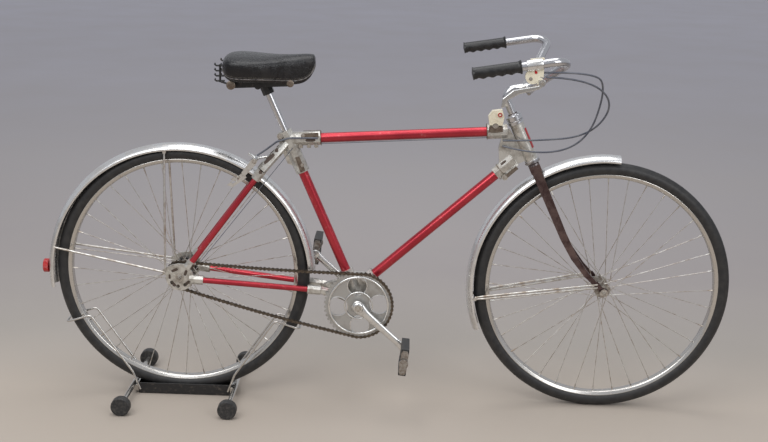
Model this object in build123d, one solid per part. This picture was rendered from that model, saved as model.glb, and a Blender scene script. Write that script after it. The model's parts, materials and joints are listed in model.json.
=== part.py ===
from build123d import *
from math import asin, atan2, cos, degrees, hypot, pi, radians, sin, tan
import os

os.makedirs("parts", exist_ok=True)

# A clamp-lug touring bicycle on its display stand, in millimetres.
# Stations are measured forward from the rear axle, across to the rider's left and up from the floor.
# Each piece is moved by rear_axle_x when it is saved, so the part is centred over its origin.

# driving sizes
wheelbase = 1160.0
tyre_radius = 352.0
tail_reach = 390.5
rear_axle_x = -(wheelbase + tyre_radius - tail_reach) / 2
tyre_half_width = 19.0
rear_axle_z = 361.0
head_angle = 65.0
seat_angle = 66.3
crank_length = 170.0
crank_angle = -40.5
steering_fit = 0.06
bearing_fit = 0.06
seat_fit = 0.05
seat_gap = 0.3
guard_reach = 373.0

# frame stations, x and z
bracket = Vector(491.0, 0, 289.0)
head_base = Vector(948.0, 0, 706.0)
top_tube_rear = Vector(379.0, 0, 748.6)
top_tube_front = Vector(825.0, 0, 778.4)
down_tube_low = Vector(531.0, 0, 368.0)
down_tube_high = Vector(868.0, 0, 674.0)
front_axle = Vector(wheelbase, 0, tyre_radius)
rear_axle = Vector(0, 0, rear_axle_z)

seat_way = Vector(-cos(radians(seat_angle)), 0, sin(radians(seat_angle)))
head_way = Vector(-cos(radians(head_angle)), 0, sin(radians(head_angle)))
head_forward = Vector(sin(radians(head_angle)), 0, cos(radians(head_angle)))
top_way = (top_tube_front - top_tube_rear).normalized()
down_way = (down_tube_high - down_tube_low).normalized()
across = Vector(0, 1, 0)


# shapes that the pieces share
def save(shape, name):
    export_step(Pos(rear_axle_x, 0, 0) * shape, f"parts/{name}.step")


def joined(shapes):
    return Compound(children=list(shapes))


def mirrored(shape):
    return mirror(shape, about=Plane.XZ)


def rod(start, end, radius):
    run = end - start
    return extrude(Plane(start, z_dir=run) * Circle(radius), amount=run.length)


def bar(start, end, flats, sides=8):
    run = end - start
    side = across if abs(run.normalized().Y) < cos(radians(head_angle)) else Vector(0, 0, 1)
    face = RegularPolygon(flats / 2, sides, major_radius=False, rotation=180 / sides)
    return extrude(Plane(start, x_dir=side, z_dir=run) * face, amount=run.length)


def sleeve(start, end, flats, hole_flats):
    return bar(start, end, flats) - bar(start, end, hole_flats)


def cross_rod(spot, left, right, radius):
    return rod(Vector(spot.X, left, spot.Z), Vector(spot.X, right, spot.Z), radius)


def plate(outline, middle, thick):
    face = Plane.XZ * Polygon(*outline, align=None)
    return Pos(0, middle, 0) * extrude(face, amount=thick / 2, both=True)


def turned(profile, middle, high_angle, sweep_angle):
    ring = revolve(Polygon(*profile, align=None), Axis.Y, revolution_arc=sweep_angle)
    return Pos(middle.X, 0, middle.Z) * Rot(0, -high_angle, 0) * ring


def full_ring(profile, middle):
    ring = revolve(Polygon(*profile, align=None), Axis.Y, revolution_arc=360)
    return Pos(middle.X, 0, middle.Z) * ring


def bent_tube(points, radii, radius):
    path = FilletPolyline(*points, radius=radii)
    start = path @ 0
    return sweep(Plane(start, z_dir=path % 0) * Circle(radius), path)


# frame tubes: drawn octagons seated in the cast lugs
main_flats = 26.0
stay_flats = 16.0
lug_flats = 38.0
seat_tube_base = bracket + seat_way * 40
seat_tube_top = bracket + seat_way * 440
seat_socket_low = bracket + seat_way * 398
seat_socket_high = bracket + seat_way * 500
bracket_socket_top = bracket + seat_way * 98
stay_foot_y = 60.0
seat_stay_low = Vector(27.0, -stay_foot_y, 395.0)
seat_stay_high = Vector(217.0, -41.0, 652.0)
chain_stay_rear = Vector(34.0, -stay_foot_y, 355.4)
chain_stay_front = Vector(384.0, -29.0, 325.0)
top_rear_end = top_tube_rear - top_way * 62
top_front_end = top_tube_front + top_way * 50
down_low_end = down_tube_low - down_way * 28
down_high_end = down_tube_high + down_way * 42

seat_tube = bar(seat_tube_base, seat_tube_top, main_flats)
top_tube = bar(top_rear_end, top_front_end, main_flats)
down_tube = bar(down_low_end, down_high_end, main_flats)
seat_stay = bar(seat_stay_low, seat_stay_high, stay_flats)
chain_stay = bar(chain_stay_rear, chain_stay_front, stay_flats)
save(seat_tube, "seat_tube")
save(top_tube, "top_tube")
save(down_tube, "down_tube")
save(joined([seat_stay, mirrored(seat_stay)]), "seat_stays")
save(joined([chain_stay, mirrored(chain_stay)]), "chain_stays")

# head lug: head tube, web and the two split clamps in one casting
head_height = 107.0
head_radius = 18.5
steerer_radius = 12.7
head_bore = 14.0
web_thick = 15.0
bolt_radius = 3.0
bolt_head_radius = 5.5
head_top = head_base + head_way * head_height
head_web = [
    (885.0, 788.0), (938.0, 706.0), (905.0, 690.0), (862.0, 692.0), (858.0, 735.0), (868.0, 775.0)]
head_shell = rod(head_base, head_top, head_radius)
top_clamp = bar(top_tube_front, top_tube_front + top_way * 54, lug_flats)
down_clamp = bar(down_tube_high - down_way * 18, down_tube_high + down_way * 46, lug_flats)
clamp_bolt_spots = [Vector(845.5, 0, 797.0), Vector(878.0, 0, 658.0)]
head_lug = head_shell + top_clamp + down_clamp + plate(head_web, 0, web_thick)
for spot in clamp_bolt_spots:
    head_lug += cross_rod(spot, -lug_flats / 2, lug_flats / 2, bolt_head_radius + bolt_radius)
head_lug -= top_tube
head_lug -= down_tube
head_lug -= rod(head_base - head_way, head_top + head_way, head_bore)
save(head_lug, "head_lug")

# headset: a cup at each end of the head tube, and the lock nut that turns with the fork
cup_radius = 21.5
cup_height = 10.0
nut_height = 11.0
race_gap = 0.4
lower_cup = rod(head_base, head_base - head_way * cup_height, cup_radius - 1.5)
upper_cup = rod(head_top, head_top + head_way * cup_height, cup_radius)
steerer_clear = rod(head_base - head_way * 40, head_top + head_way * 40, steerer_radius + steering_fit)
save(joined([lower_cup - steerer_clear, upper_cup - steerer_clear]), "headset_cups")
nut_base = head_top + head_way * (cup_height + race_gap)
nut_ring = rod(nut_base, nut_base + head_way * nut_height, cup_radius)
nut_cone = rod(nut_base + head_way * nut_height, nut_base + head_way * (nut_height + 7), 16.5)
save(nut_ring + nut_cone - steerer_clear, "headset_nut")

# cream guide block clamped on top of the head lug
guide_outline = [
    (829.0, 800.0), (826.0, 823.0), (836.0, 838.0), (862.0, 842.0), (868.0, 822.0), (864.0, 800.0)]
guide_block = plate(guide_outline, -14.0, 22.0) - top_clamp
guide_block -= cross_rod(clamp_bolt_spots[0], -lug_flats, lug_flats, bolt_head_radius + bolt_radius + seat_fit)
guide_ring = cross_rod(Vector(856.0, 0, 829.0), -25.0, -29.0, 6.0)
save(guide_block + guide_ring, "guide_block")

# seat lug: seat tube socket, top tube clamp and the two arms that carry the seat stays
seat_lug_flats = 36.0
seat_post_radius = 10.0
seat_post_low = bracket + seat_way * 462
seat_post_top = bracket + seat_way * 646
arm_root = Vector(287.0, 0, 733.0)
stay_clamp_flats = 25.0
stay_way = (seat_stay_high - seat_stay_low).normalized()
stay_clamp_low = seat_stay_high - stay_way * 18
stay_clamp_high = seat_stay_high + stay_way * 12
seat_web = [
    (292.0, 762.0), (262.0, 752.0), (268.0, 726.0), (290.0, 676.0), (322.0, 664.0), (318.0, 730.0)]
seat_lug = bar(seat_socket_low, bracket + seat_way * 520, seat_lug_flats)
seat_lug += bar(top_tube_rear - top_way * 88, top_tube_rear, seat_lug_flats)
seat_lug += plate(seat_web, 0, 14.0)
for side in (-1, 1):
    clamp_low = Vector(stay_clamp_low.X, side * -stay_clamp_low.Y, stay_clamp_low.Z)
    clamp_high = Vector(stay_clamp_high.X, side * -stay_clamp_high.Y, stay_clamp_high.Z)
    arm_start = Vector(arm_root.X, side * 10.0, arm_root.Z)
    seat_lug += bar(clamp_low, clamp_high, stay_clamp_flats)
    seat_lug += bar(arm_start, clamp_high, 20.0, 6)
seat_lug += cross_rod(Vector(270.0, 0, 752.0), -17.0, 17.0, 8.5)
seat_lug += cross_rod(Vector(240.0, 0, 692.0), -28.0, 28.0, 6.0)
for station in (12.0, 32.0, 54.0):
    hang = top_tube_rear - top_way * station
    seat_lug += rod(hang - Vector(0, 0, 14), hang - Vector(0, 0, 26), bolt_head_radius)
seat_lug -= seat_tube
seat_lug -= top_tube
seat_lug -= seat_stay
seat_lug -= mirrored(seat_stay)
seat_lug -= rod(seat_post_low, seat_post_top, seat_post_radius)
save(seat_lug, "seat_lug")
save(rod(seat_post_low, seat_post_top, seat_post_radius), "seat_post")

# bottom bracket lug: bearing shell, tube sockets, web and the two arms to the chain stays
shell_radius = 22.0
shell_half = 33.0
spindle_radius = 8.0
arm_flats = 24.0
stay_front_way = (chain_stay_front - chain_stay_rear).normalized()
arm_front_low = chain_stay_front - stay_front_way * 36
bracket_web = [
    (392.0, 336.0), (437.0, 352.0), (468.0, 372.0), (524.0, 372.0), (532.0, 352.0), (512.0, 300.0),
    (491.0, 268.0), (455.0, 286.0), (392.0, 312.0)]
bracket_lug = cross_rod(bracket, -shell_half, shell_half, shell_radius)
bracket_lug += bar(bracket, bracket_socket_top, lug_flats)
bracket_lug += bar(down_tube_low - down_way * 34, down_tube_low + down_way * 3, lug_flats)
bracket_lug += plate(bracket_web, 0, web_thick)
for side in (-1, 1):
    stay_back = Vector(arm_front_low.X, -side * arm_front_low.Y, arm_front_low.Z)
    stay_fore = Vector(chain_stay_front.X, -side * chain_stay_front.Y, chain_stay_front.Z)
    bracket_lug += bar(stay_back, stay_fore, arm_flats)
    bracket_lug += bar(stay_fore, Vector(bracket.X - 30, side * 12.0, bracket.Z + 16), 20.0, 6)
bracket_lug -= seat_tube
bracket_lug -= down_tube
bracket_lug -= chain_stay
bracket_lug -= mirrored(chain_stay)
bracket_lug -= cross_rod(bracket, -shell_half - 1, shell_half + 1, spindle_radius + bearing_fit)
save(bracket_lug, "bottom_bracket_lug")

# dropouts: a cast plate at each end of the rear axle with its sockets and mudguard ear
dropout_radius = 38.0
dropout_thick = 8.0
axle_radius = 4.75
chain_way = (chain_stay_front - chain_stay_rear).normalized()
dropout = cross_rod(rear_axle, -stay_foot_y - dropout_thick / 2, -stay_foot_y + dropout_thick / 2, dropout_radius)
dropout += bar(seat_stay_low - stay_way * 8, seat_stay_low + stay_way * 14, arm_flats)
dropout += bar(chain_stay_rear - chain_way * 8, chain_stay_rear + chain_way * 30, arm_flats)
dropout += plate([(-46.0, 368.0), (-46.0, 382.0), (-20.0, 396.0), (30.0, 400.0), (10.0, 370.0)], -stay_foot_y, dropout_thick)
for hole_angle in (215.0, 260.0, 305.0):
    hole = rear_axle + Vector(cos(radians(hole_angle)), 0, sin(radians(hole_angle))) * 26
    dropout -= cross_rod(hole, -stay_foot_y - dropout_thick, -stay_foot_y + dropout_thick, 5.0)
dropout -= seat_stay
dropout -= chain_stay
dropout -= cross_rod(rear_axle, -stay_foot_y - dropout_thick, -stay_foot_y + dropout_thick, axle_radius + seat_fit)
save(joined([dropout, mirrored(dropout)]), "dropouts")


# wheels: axle, hub, tangent spokes, rim and tyre
def spoke_set(middle, flange_radius, flange_y, rim_radius, count):
    spokes = []
    for index in range(count):
        side = 1 if index % 2 else -1
        lean = 1 if (index // 2) % 2 else -1
        rim_angle = 360 * index / count
        hub_angle = rim_angle + lean * 62.0
        outside = 2.4 if (index // 2) % 2 else -2.4
        hub_end = middle + Vector(cos(radians(hub_angle)), 0, sin(radians(hub_angle))) * flange_radius
        rim_end = middle + Vector(cos(radians(rim_angle)), 0, sin(radians(rim_angle))) * rim_radius
        start = Vector(hub_end.X, side * (flange_y + outside), hub_end.Z)
        end = Vector(rim_end.X, side * 3.6 + side * outside / 2, rim_end.Z)
        spokes.append(bar(start, end, 2.0, 6))
    return joined(spokes)


rim_seat = 309.0
rim_lip = 321.0
rim_profile = [
    (rim_seat - 2, -7.0), (rim_seat - 2, 7.0), (rim_seat + 2, 12.5), (rim_lip, 13.5), (rim_lip, 11.0),
    (rim_seat + 5, 8.0), (rim_seat + 5, -8.0), (rim_lip, -11.0), (rim_lip, -13.5), (rim_seat + 2, -12.5)]
tyre_core = tyre_radius - tyre_half_width
tyre_profile = [
    (rim_seat + 5.2, 7.6), (rim_lip + 0.2, 10.6), (tyre_core - 6, tyre_half_width - 1.5), (tyre_core + 6, tyre_half_width),
    (tyre_core + 15, 11.5), (tyre_radius, 4.0), (tyre_radius, -4.0), (tyre_core + 15, -11.5),
    (tyre_core + 6, -tyre_half_width), (tyre_core - 6, 1.5 - tyre_half_width), (rim_lip + 0.2, -10.6), (rim_seat + 5.2, -7.6)]
spoke_count = 36
flange_half = 31.0
flange_radius = 22.0
for end_name, middle, axle_hole in (("front", front_axle, 4.5), ("rear", rear_axle, axle_radius)):
    save(full_ring(tyre_profile, middle), f"{end_name}_tyre")
    save(full_ring(rim_profile, middle), f"{end_name}_rim")
    save(spoke_set(middle, flange_radius - 4, flange_half, rim_seat - 0.5, spoke_count), f"{end_name}_spokes")
    barrel_radius = 12.0 if end_name == "front" else 19.0
    hub_end = 43.0 if end_name == "front" else 52.0
    hub_profile = [
        (axle_hole + bearing_fit, -hub_end), (10.0, -hub_end), (barrel_radius, -flange_half - 1.5),
        (flange_radius, -flange_half - 1.5), (flange_radius, 1.5 - flange_half), (barrel_radius, 1.5 - flange_half),
        (barrel_radius, flange_half - 1.5), (flange_radius, flange_half - 1.5), (flange_radius, flange_half + 1.5),
        (barrel_radius, flange_half + 1.5), (10.0, hub_end), (axle_hole + bearing_fit, hub_end)]
    save(full_ring(hub_profile, middle), f"{end_name}_hub")


# toothed wheels and the chain that runs round them
pitch = 12.7
chainring_teeth = 46
sprocket_teeth = 19
chain_line = -42.0
tooth_thick = 3.0


def pitch_radius(teeth):
    return pitch / 2 / sin(pi / teeth)


def toothed(teeth, middle, thick):
    outline = []
    for index in range(teeth):
        for share, rise in ((0.0, -3.4), (0.32, 3.0), (0.68, 3.0)):
            angle = 2 * pi * (index + share) / teeth
            reach = pitch_radius(teeth) + rise
            outline.append((middle.X + reach * cos(angle), middle.Z + reach * sin(angle)))
    return plate(outline, chain_line, thick)


ring_hole_radius = 25.5
ring_hole_place = 57.0
ring_rim_radius = 84.0
chainring = toothed(chainring_teeth, bracket, tooth_thick)
rim_face = RegularPolygon(ring_rim_radius, 48) - RegularPolygon(ring_rim_radius - 5, 48)
rim_sheet = extrude(Plane(Vector(bracket.X, chain_line - tooth_thick / 2, bracket.Z), z_dir=-across) * rim_face, amount=2.0)
chainring += rim_sheet
for quarter in range(4):
    hole_angle = radians(crank_angle + 45 + 90 * quarter)
    hole = bracket + Vector(cos(hole_angle), 0, sin(hole_angle)) * ring_hole_place
    chainring -= cross_rod(hole, chain_line - 10, chain_line + 10, ring_hole_radius)
chainring -= cross_rod(bracket, chain_line - 10, chain_line + 10, spindle_radius + seat_fit)
save(chainring, "chainring")

sprocket = toothed(sprocket_teeth, rear_axle, tooth_thick)
sprocket -= cross_rod(rear_axle, chain_line - 10, chain_line + 10, 20.0)
sprocket_carrier = full_ring([(14.6, -52.0), (20.0, -52.0), (20.0, -36.0), (19.2, -36.0)], rear_axle)
save(sprocket + sprocket_carrier, "rear_sprocket")

strip_half = 3.6
strip_thick = 1.0
strip_inside = 2.0
link_thick = 1.0
link_half = 4.3
big_radius = pitch_radius(chainring_teeth)
small_radius = pitch_radius(sprocket_teeth)
span = hypot(bracket.X, bracket.Z - rear_axle.Z)
span_angle = atan2(bracket.Z - rear_axle.Z, bracket.X)
wrap_lean = asin((big_radius - small_radius) / span)


def round_spot(middle, reach, angle):
    return (middle.X + reach * cos(angle), middle.Z + reach * sin(angle))


upper_angle = span_angle + pi / 2 + wrap_lean
lower_angle = span_angle - pi / 2 - wrap_lean


def chain_outline(grow):
    points = []
    wrap_steps = 16
    big_sweep = upper_angle - lower_angle
    for step in range(wrap_steps + 1):
        points.append(round_spot(bracket, big_radius + grow, lower_angle + big_sweep * step / wrap_steps))
    small_steps = 10
    small_sweep = 2 * pi - big_sweep
    for step in range(small_steps + 1):
        points.append(round_spot(rear_axle, small_radius + grow, upper_angle + small_sweep * step / small_steps))
    return points


strip = plate(chain_outline(strip_half), 0, strip_thick) - plate(chain_outline(-strip_half), 0, strip_thick * 3)
chain_parts = []
for side in (-1, 1):
    chain_parts.append(Pos(0, chain_line + side * (strip_inside + strip_thick / 2), 0) * strip)
    link_y = chain_line + side * (strip_inside + strip_thick + link_thick / 2)
    run_pairs = (
        (round_spot(rear_axle, small_radius, upper_angle), round_spot(bracket, big_radius, upper_angle)),
        (round_spot(bracket, big_radius, lower_angle), round_spot(rear_axle, small_radius, lower_angle)))
    for start, end in run_pairs:
        run = Vector(end[0] - start[0], 0, end[1] - start[1])
        way = run.normalized()
        rise = Vector(-way.Z, 0, way.X)
        for index in range(int(run.length / (2 * pitch))):
            middle = Vector(start[0], link_y, start[1]) + way * (2 * pitch * (index + 0.5))
            link_plane = Plane(middle - across * (link_thick / 2), x_dir=way, z_dir=across)
            chain_parts.append(extrude(link_plane * Rectangle(pitch + 6, 2 * link_half), amount=link_thick))
            if side > 0 and 42 < 2 * pitch * (index + 0.5) < run.length - 48:
                pin = middle + way * (pitch / 2)
                chain_parts.append(bar(
                    Vector(pin.X, chain_line - strip_inside, pin.Z), Vector(pin.X, chain_line + strip_inside, pin.Z), 6.6, 6))
save(joined(chain_parts), "chain")

# cranks: spindle, two arms and the pedal spindles
crank_way = Vector(cos(radians(crank_angle)), 0, sin(radians(crank_angle)))
crank_end_right = bracket + crank_way * crank_length
crank_end_left = bracket - crank_way * crank_length


def crank_arm(way, side, inner):
    rise = Vector(-way.Z, 0, way.X)
    root = bracket + way * 8 + across * (side * (inner + 6))
    tip = bracket + way * crank_length + across * (side * (inner + 20))
    first = Plane(root, x_dir=rise, z_dir=way) * Rectangle(24, 12)
    last = Plane(tip, x_dir=rise, z_dir=way) * Rectangle(17, 11)
    arm = loft([first, last], ruled=True)
    arm += cross_rod(bracket, side * inner, side * (inner + 13), 16.0)
    end = bracket + way * crank_length
    arm += cross_rod(end, side * (inner + 14), side * (inner + 26), 11.0)
    arm -= cross_rod(bracket, side * (inner - 1), side * (inner + 16), spindle_radius + seat_fit)
    arm += cross_rod(end, side * (inner + 26), side * (inner + 131), 4.5)
    return arm


crank_inner = 53.0
save(crank_arm(crank_way, -1, crank_inner), "crank_right")
save(crank_arm(-crank_way, 1, crank_inner), "crank_left")
save(cross_rod(bracket, -crank_inner - 12, crank_inner + 12, spindle_radius), "crank_spindle")


# pedals: a bearing tube with two end plates, and two rubber blocks
pedal_near = crank_inner + 36
pedal_far = crank_inner + 130
pedal_tilt = 83.5
block_place = 26.0
pedal_way = Vector(cos(radians(pedal_tilt)), 0, sin(radians(pedal_tilt)))
pedal_side = Vector(-pedal_way.Z, 0, pedal_way.X)
for side_name, side, end in (("right", -1, crank_end_right), ("left", 1, crank_end_left)):
    cage = cross_rod(end, side * pedal_near, side * pedal_far, 8.5)
    for face_y in (pedal_near + 1.5, pedal_far - 1.5):
        cheek = [
            (end + pedal_way * along + pedal_side * aside)
            for along, aside in ((34, -6), (34, 6), (26, 10), (-26, 10), (-34, 6), (-34, -6), (-26, -10), (26, -10))]
        cage += plate([(corner.X, corner.Z) for corner in cheek], side * face_y, 3.0)
    cage -= cross_rod(end, side * (pedal_near - 1), side * (pedal_far + 1), 4.5 + bearing_fit)
    cap = cross_rod(end, side * (pedal_far + 1.5), side * (pedal_far + 9), 12.5)
    cage += cap + cross_rod(end, side * (pedal_far - 0.5), side * (pedal_far + 2), 8.0) - cross_rod(
        end, side * (pedal_near - 1), side * (pedal_far + 1), 4.5 + bearing_fit)
    save(cage, f"pedal_{side_name}_frame")
    blocks = []
    for place in (-block_place, block_place):
        middle = end + pedal_way * place
        block_plane = Plane(middle + across * (side * (pedal_near + 3)), x_dir=pedal_side, z_dir=across * side)
        blocks.append(extrude(block_plane * Rectangle(21, 24), amount=pedal_far - pedal_near - 6))
    save(joined(blocks), f"pedal_{side_name}_rubbers")

# fork: steerer, crown, two raked blades and their tips
crown_depth = 20.0
crown_top = head_base - head_way * (cup_height + race_gap)
blade_y = 37.0
tip_y = 50.0
blade_straight = Vector(1043.0, 0, 502.0)
blade_tip = Vector(1153.0, 0, 359.0)
rake_turn = 25.0
steerer = rod(crown_top - head_way * 4, head_top + head_way * 30, steerer_radius)
crown_mid = crown_top - head_way * (crown_depth / 2)
crown_plane = Plane(crown_mid - across * 45, x_dir=head_way, z_dir=across)
fork = steerer + extrude(crown_plane * Rectangle(crown_depth, 30), amount=90)
chord = blade_tip - blade_straight
rake_radius = chord.length / 2 / sin(radians(rake_turn / 2))
blade_root = crown_mid
root_way = (blade_straight - blade_root).normalized()
blade_sections = [(0.0, 0.0, 26.0, 17.0), (1.0, 0.0, 21.0, 15.0), (1.0, 0.34, 18.0, 13.0), (1.0, 0.67, 15.0, 12.0), (1.0, 1.0, 12.0, 10.0)]


def blade_point(straight_share, arc_share):
    if arc_share == 0:
        return blade_root + (blade_straight - blade_root) * straight_share, -head_angle
    turn = rake_turn * arc_share
    reach = 2 * rake_radius * sin(radians(turn / 2))
    lean = radians(-head_angle + turn / 2)
    return blade_straight + Vector(cos(lean), 0, sin(lean)) * reach, -head_angle + turn


blade_faces = []
drop = (blade_root - blade_tip).Z
for straight_share, arc_share, deep, wide in blade_sections:
    spot, lean = blade_point(straight_share, arc_share)
    aside = blade_y + (tip_y - blade_y) * (blade_root.Z - spot.Z) / drop
    way = Vector(cos(radians(lean)), 0, sin(radians(lean)))
    blade_plane = Plane(spot - across * aside, x_dir=across, z_dir=way)
    corner = Rectangle(wide, deep) & Rectangle((wide + deep) * 0.72, (wide + deep) * 0.72, rotation=45)
    blade_faces.append(blade_plane * corner)
blade = loft(blade_faces, ruled=True)
tip_plate = plate(
    [(1147.0, 356.0), (1154.0, 366.0), (1170.0, 360.0), (1174.0, 350.0), (1166.0, 340.0), (1154.0, 344.0)], -tip_y, 5.0)
tip_plate += plate([(1134.0, 372.0), (1142.0, 382.0), (1158.0, 362.0), (1150.0, 354.0)], -tip_y, 5.0)
fork += blade + mirrored(blade)
fork += tip_plate + mirrored(tip_plate)
fork -= cross_rod(front_axle, -70, 70, 4.5 + seat_fit)
stem_radius = 11.0
fork -= rod(head_base + head_way * 60, head_top + head_way * 40, stem_radius + seat_fit)
guard_way = (crown_mid - front_axle).normalized()
fork += rod(crown_mid, front_axle + guard_way * (guard_reach + seat_gap), 6.0)
save(fork, "fork")


def axle_with_nuts(middle, radius, seat, over):
    piece = cross_rod(middle, -seat - over, seat + over, radius)
    for side in (-1, 1):
        start = Vector(middle.X, side * (seat + seat_fit), middle.Z)
        piece += bar(start, start + across * (side * 8), 15.0, 6)
    return piece


save(axle_with_nuts(front_axle, 4.5, tip_y + 2.5, 18.0), "front_axle")
save(axle_with_nuts(rear_axle, axle_radius, stay_foot_y + dropout_thick / 2, 18.0), "rear_axle")

# stem and handlebar
bar_radius = 11.1
bar_middle = Vector(930.0, 0, 903.0)
stem_low = head_base + head_way * 70
stem_corner = head_base + head_way * 203
stem = bent_tube([stem_low, stem_corner, bar_middle], 24.0, stem_radius)
stem += cross_rod(bar_middle, -19.0, 19.0, 17.0)
stem -= cross_rod(bar_middle, -20.0, 20.0, bar_radius + seat_fit)
save(stem, "stem")
grip_y = 265.0
bar_end = Vector(768.0, grip_y, 969.5)
bar_front = Vector(1012.0, grip_y - 3, 1010.0)
bar_low = Vector(936.0, 46.0, 905.0)


def left(spot):
    return Vector(spot.X, -spot.Y, spot.Z)


handlebar = bent_tube(
    [left(bar_end), left(bar_front), left(bar_low) - Vector(6, 0, 2), bar_low - Vector(6, 0, 2), bar_front, bar_end],
    [38.0, 40.0, 40.0, 38.0], bar_radius)
save(handlebar, "handlebar")
grip_way = (bar_end - bar_front).normalized()
grip_start = bar_end - grip_way * 118
grip_stop = bar_end + grip_way * 4
grip = rod(grip_start, grip_stop, 16.0)
grip -= rod(grip_start + grip_way * -1, bar_end, bar_radius + seat_fit)
save(joined([grip, mirrored(grip)]), "grips")

# brake lever and gear shifter on the right of the bar
shifter = cross_rod(Vector(912.0, 0, 966.0), -252.0, -268.0, 18.0)
shifter += cross_rod(Vector(929.0, 0, 956.0), -254.0, -268.0, 9.0)
shifter += plate([(905.0, 972.0), (905.0, 1008.0), (938.0, 1012.0), (938.0, 965.0)], -grip_y + 5, 16.0)
shifter -= handlebar
save(shifter, "gear_shifter")
lever_outline = [
    (926.0, 946.0), (941.0, 961.0), (944.0, 951.0), (930.0, 938.0), (880.0, 924.0), (852.0, 908.0), (846.0, 890.0),
    (838.0, 890.0), (840.0, 912.0), (866.0, 934.0)]
save(plate(lever_outline, -grip_y - 9, 11.0), "brake_lever")

# mudguards: a rolled strip with a ridge, on stays
guard_half = 27.0
guard_drop = 16.0
guard_wall = 1.3


def guard_profile(reach):
    outer = [(reach - guard_drop, guard_half), (reach - 6, guard_half - 3), (reach, 9.0), (reach, -9.0),
             (reach - 6, 3 - guard_half), (reach - guard_drop, -guard_half)]
    inner = [(reach - guard_drop, guard_wall - guard_half), (reach - 6 - guard_wall, 3 + guard_wall - guard_half),
             (reach - guard_wall, -9.0), (reach - guard_wall, 9.0), (reach - 6 - guard_wall, guard_half - 3 - guard_wall),
             (reach - guard_drop, guard_half - guard_wall)]
    return outer + inner


nose_angle = 97.0
nose_curl = 300.0
nose_turn = 14.0
front_guard = turned(guard_profile(guard_reach), front_axle, 201.0, 201.0 - nose_angle)
nose_out = Vector(cos(radians(nose_angle)), 0, sin(radians(nose_angle)))
curl_middle = front_axle + nose_out * (guard_reach + nose_curl)
curl_profile = [(nose_curl + guard_reach - reach, aside) for reach, aside in guard_profile(guard_reach)]
curl = revolve(Polygon(*curl_profile, align=None), Axis.Y, revolution_arc=-nose_turn)
nose = Pos(curl_middle.X, 0, curl_middle.Z) * Rot(0, -(nose_angle + 180), 0) * curl
save(front_guard + nose, "front_mudguard")
rear_guard_middle = Vector(-4.0, 0, 352.0)
save(turned(guard_profile(guard_reach - 1), rear_guard_middle, 187.0, 183.0), "rear_mudguard")

wire_radius = 2.4
front_stay = rod(Vector(1142.0, -58.2, 373.0), Vector(812.0, -guard_half - wire_radius, 318.0), wire_radius)
save(joined([front_stay, mirrored(front_stay)]), "front_mudguard_stays")
rear_stay_low = rod(Vector(-38.0, -67.4, 375.0), Vector(-353.0, -guard_half - wire_radius, 426.0), wire_radius)
rear_stay_high = rod(Vector(-38.0, -67.3, 381.0), Vector(-41.0, -guard_half - wire_radius, 702.0), wire_radius)
save(joined([rear_stay_low, rear_stay_high, mirrored(rear_stay_low), mirrored(rear_stay_high)]), "rear_mudguard_stays")
save(rod(Vector(-376.4, 0, 364.0), Vector(-tail_reach, 0, 364.0), 19.0), "rear_reflector")

# rear brake on the seat stays
brake_pivot = Vector(203.0, 0, 686.0)
brake_bridge = Vector(240.0, 0, 692.0)
shoe_loop = plate([(128.0, 618.0), (144.0, 612.0), (182.0, 640.0), (174.0, 656.0)], -33.0, 5.0)
shoe_loop -= plate([(139.0, 624.0), (145.0, 622.0), (166.0, 638.0), (162.0, 644.0)], -33.0, 7.0)
brake_arm = plate([(174.0, 640.0), (168.0, 654.0), (196.0, 690.0), (208.0, 690.0), (206.0, 676.0)], -33.0, 5.0)
rear_brake = cross_rod(brake_pivot, -30.5, 30.5, 5.5)
rear_brake += shoe_loop + brake_arm + mirrored(shoe_loop + brake_arm)
rear_brake += rod(brake_pivot, Vector(183.0, 0, 700.0), 4.0)
rear_brake += rod(brake_pivot, brake_bridge - Vector(6.6, 0, 0), 3.5)
save(rear_brake, "rear_brake")

# cables that the frame holds
cable_radius = 2.5
wire_bare = 0.9
under = Vector(0, -9.0, -15.0)
wire_rear = top_tube_rear + top_way * (seat_gap + 1)
wire_front = top_tube_front - top_way * (seat_gap - 1)
brake_wire = rod(wire_rear + under, wire_front + under, wire_bare)
brake_tail = bent_tube(
    [Vector(372.0, -20.8, 751.0), Vector(296.0, -20.8, 749.0), Vector(262.0, -20.0, 738.0), Vector(228.0, -4.0, 710.0),
     Vector(206.0, 0, 694.4)],
    [40.0, 20.0, 20.0], cable_radius)
gear_under = Vector(0, 9.0, -15.0)
gear_wire = rod(wire_rear + gear_under, wire_front + gear_under, wire_bare)
gear_tail = rod(Vector(305.0, -19.3, 722.0), Vector(61.0, -72.0, 412.0), wire_bare)
save(joined([brake_wire, brake_tail, gear_wire, gear_tail]), "frame_cables")
brake_loop = bent_tube(
    [Vector(945.0, -262.0, 965.0), Vector(1050.0, -240.0, 962.0), Vector(1135.0, -165.0, 890.0), Vector(1085.0, -95.0, 790.0),
     Vector(940.0, -36.0, 763.0), Vector(868.0, -10.2, 757.0)],
    [60.0, 60.0, 50.0, 60.0], cable_radius)
gear_loop = bent_tube(
    [Vector(938.3, -262.0, 976.0), Vector(1060.0, -262.0, 982.0), Vector(1108.0, -170.0, 930.0), Vector(1080.0, -100.0, 775.0),
     Vector(965.0, -46.0, 724.0), Vector(868.0, -10.2, 742.0)],
    [50.0, 60.0, 60.0, 60.0], cable_radius)
save(joined([brake_loop, gear_loop]), "cable_loops")

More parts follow.
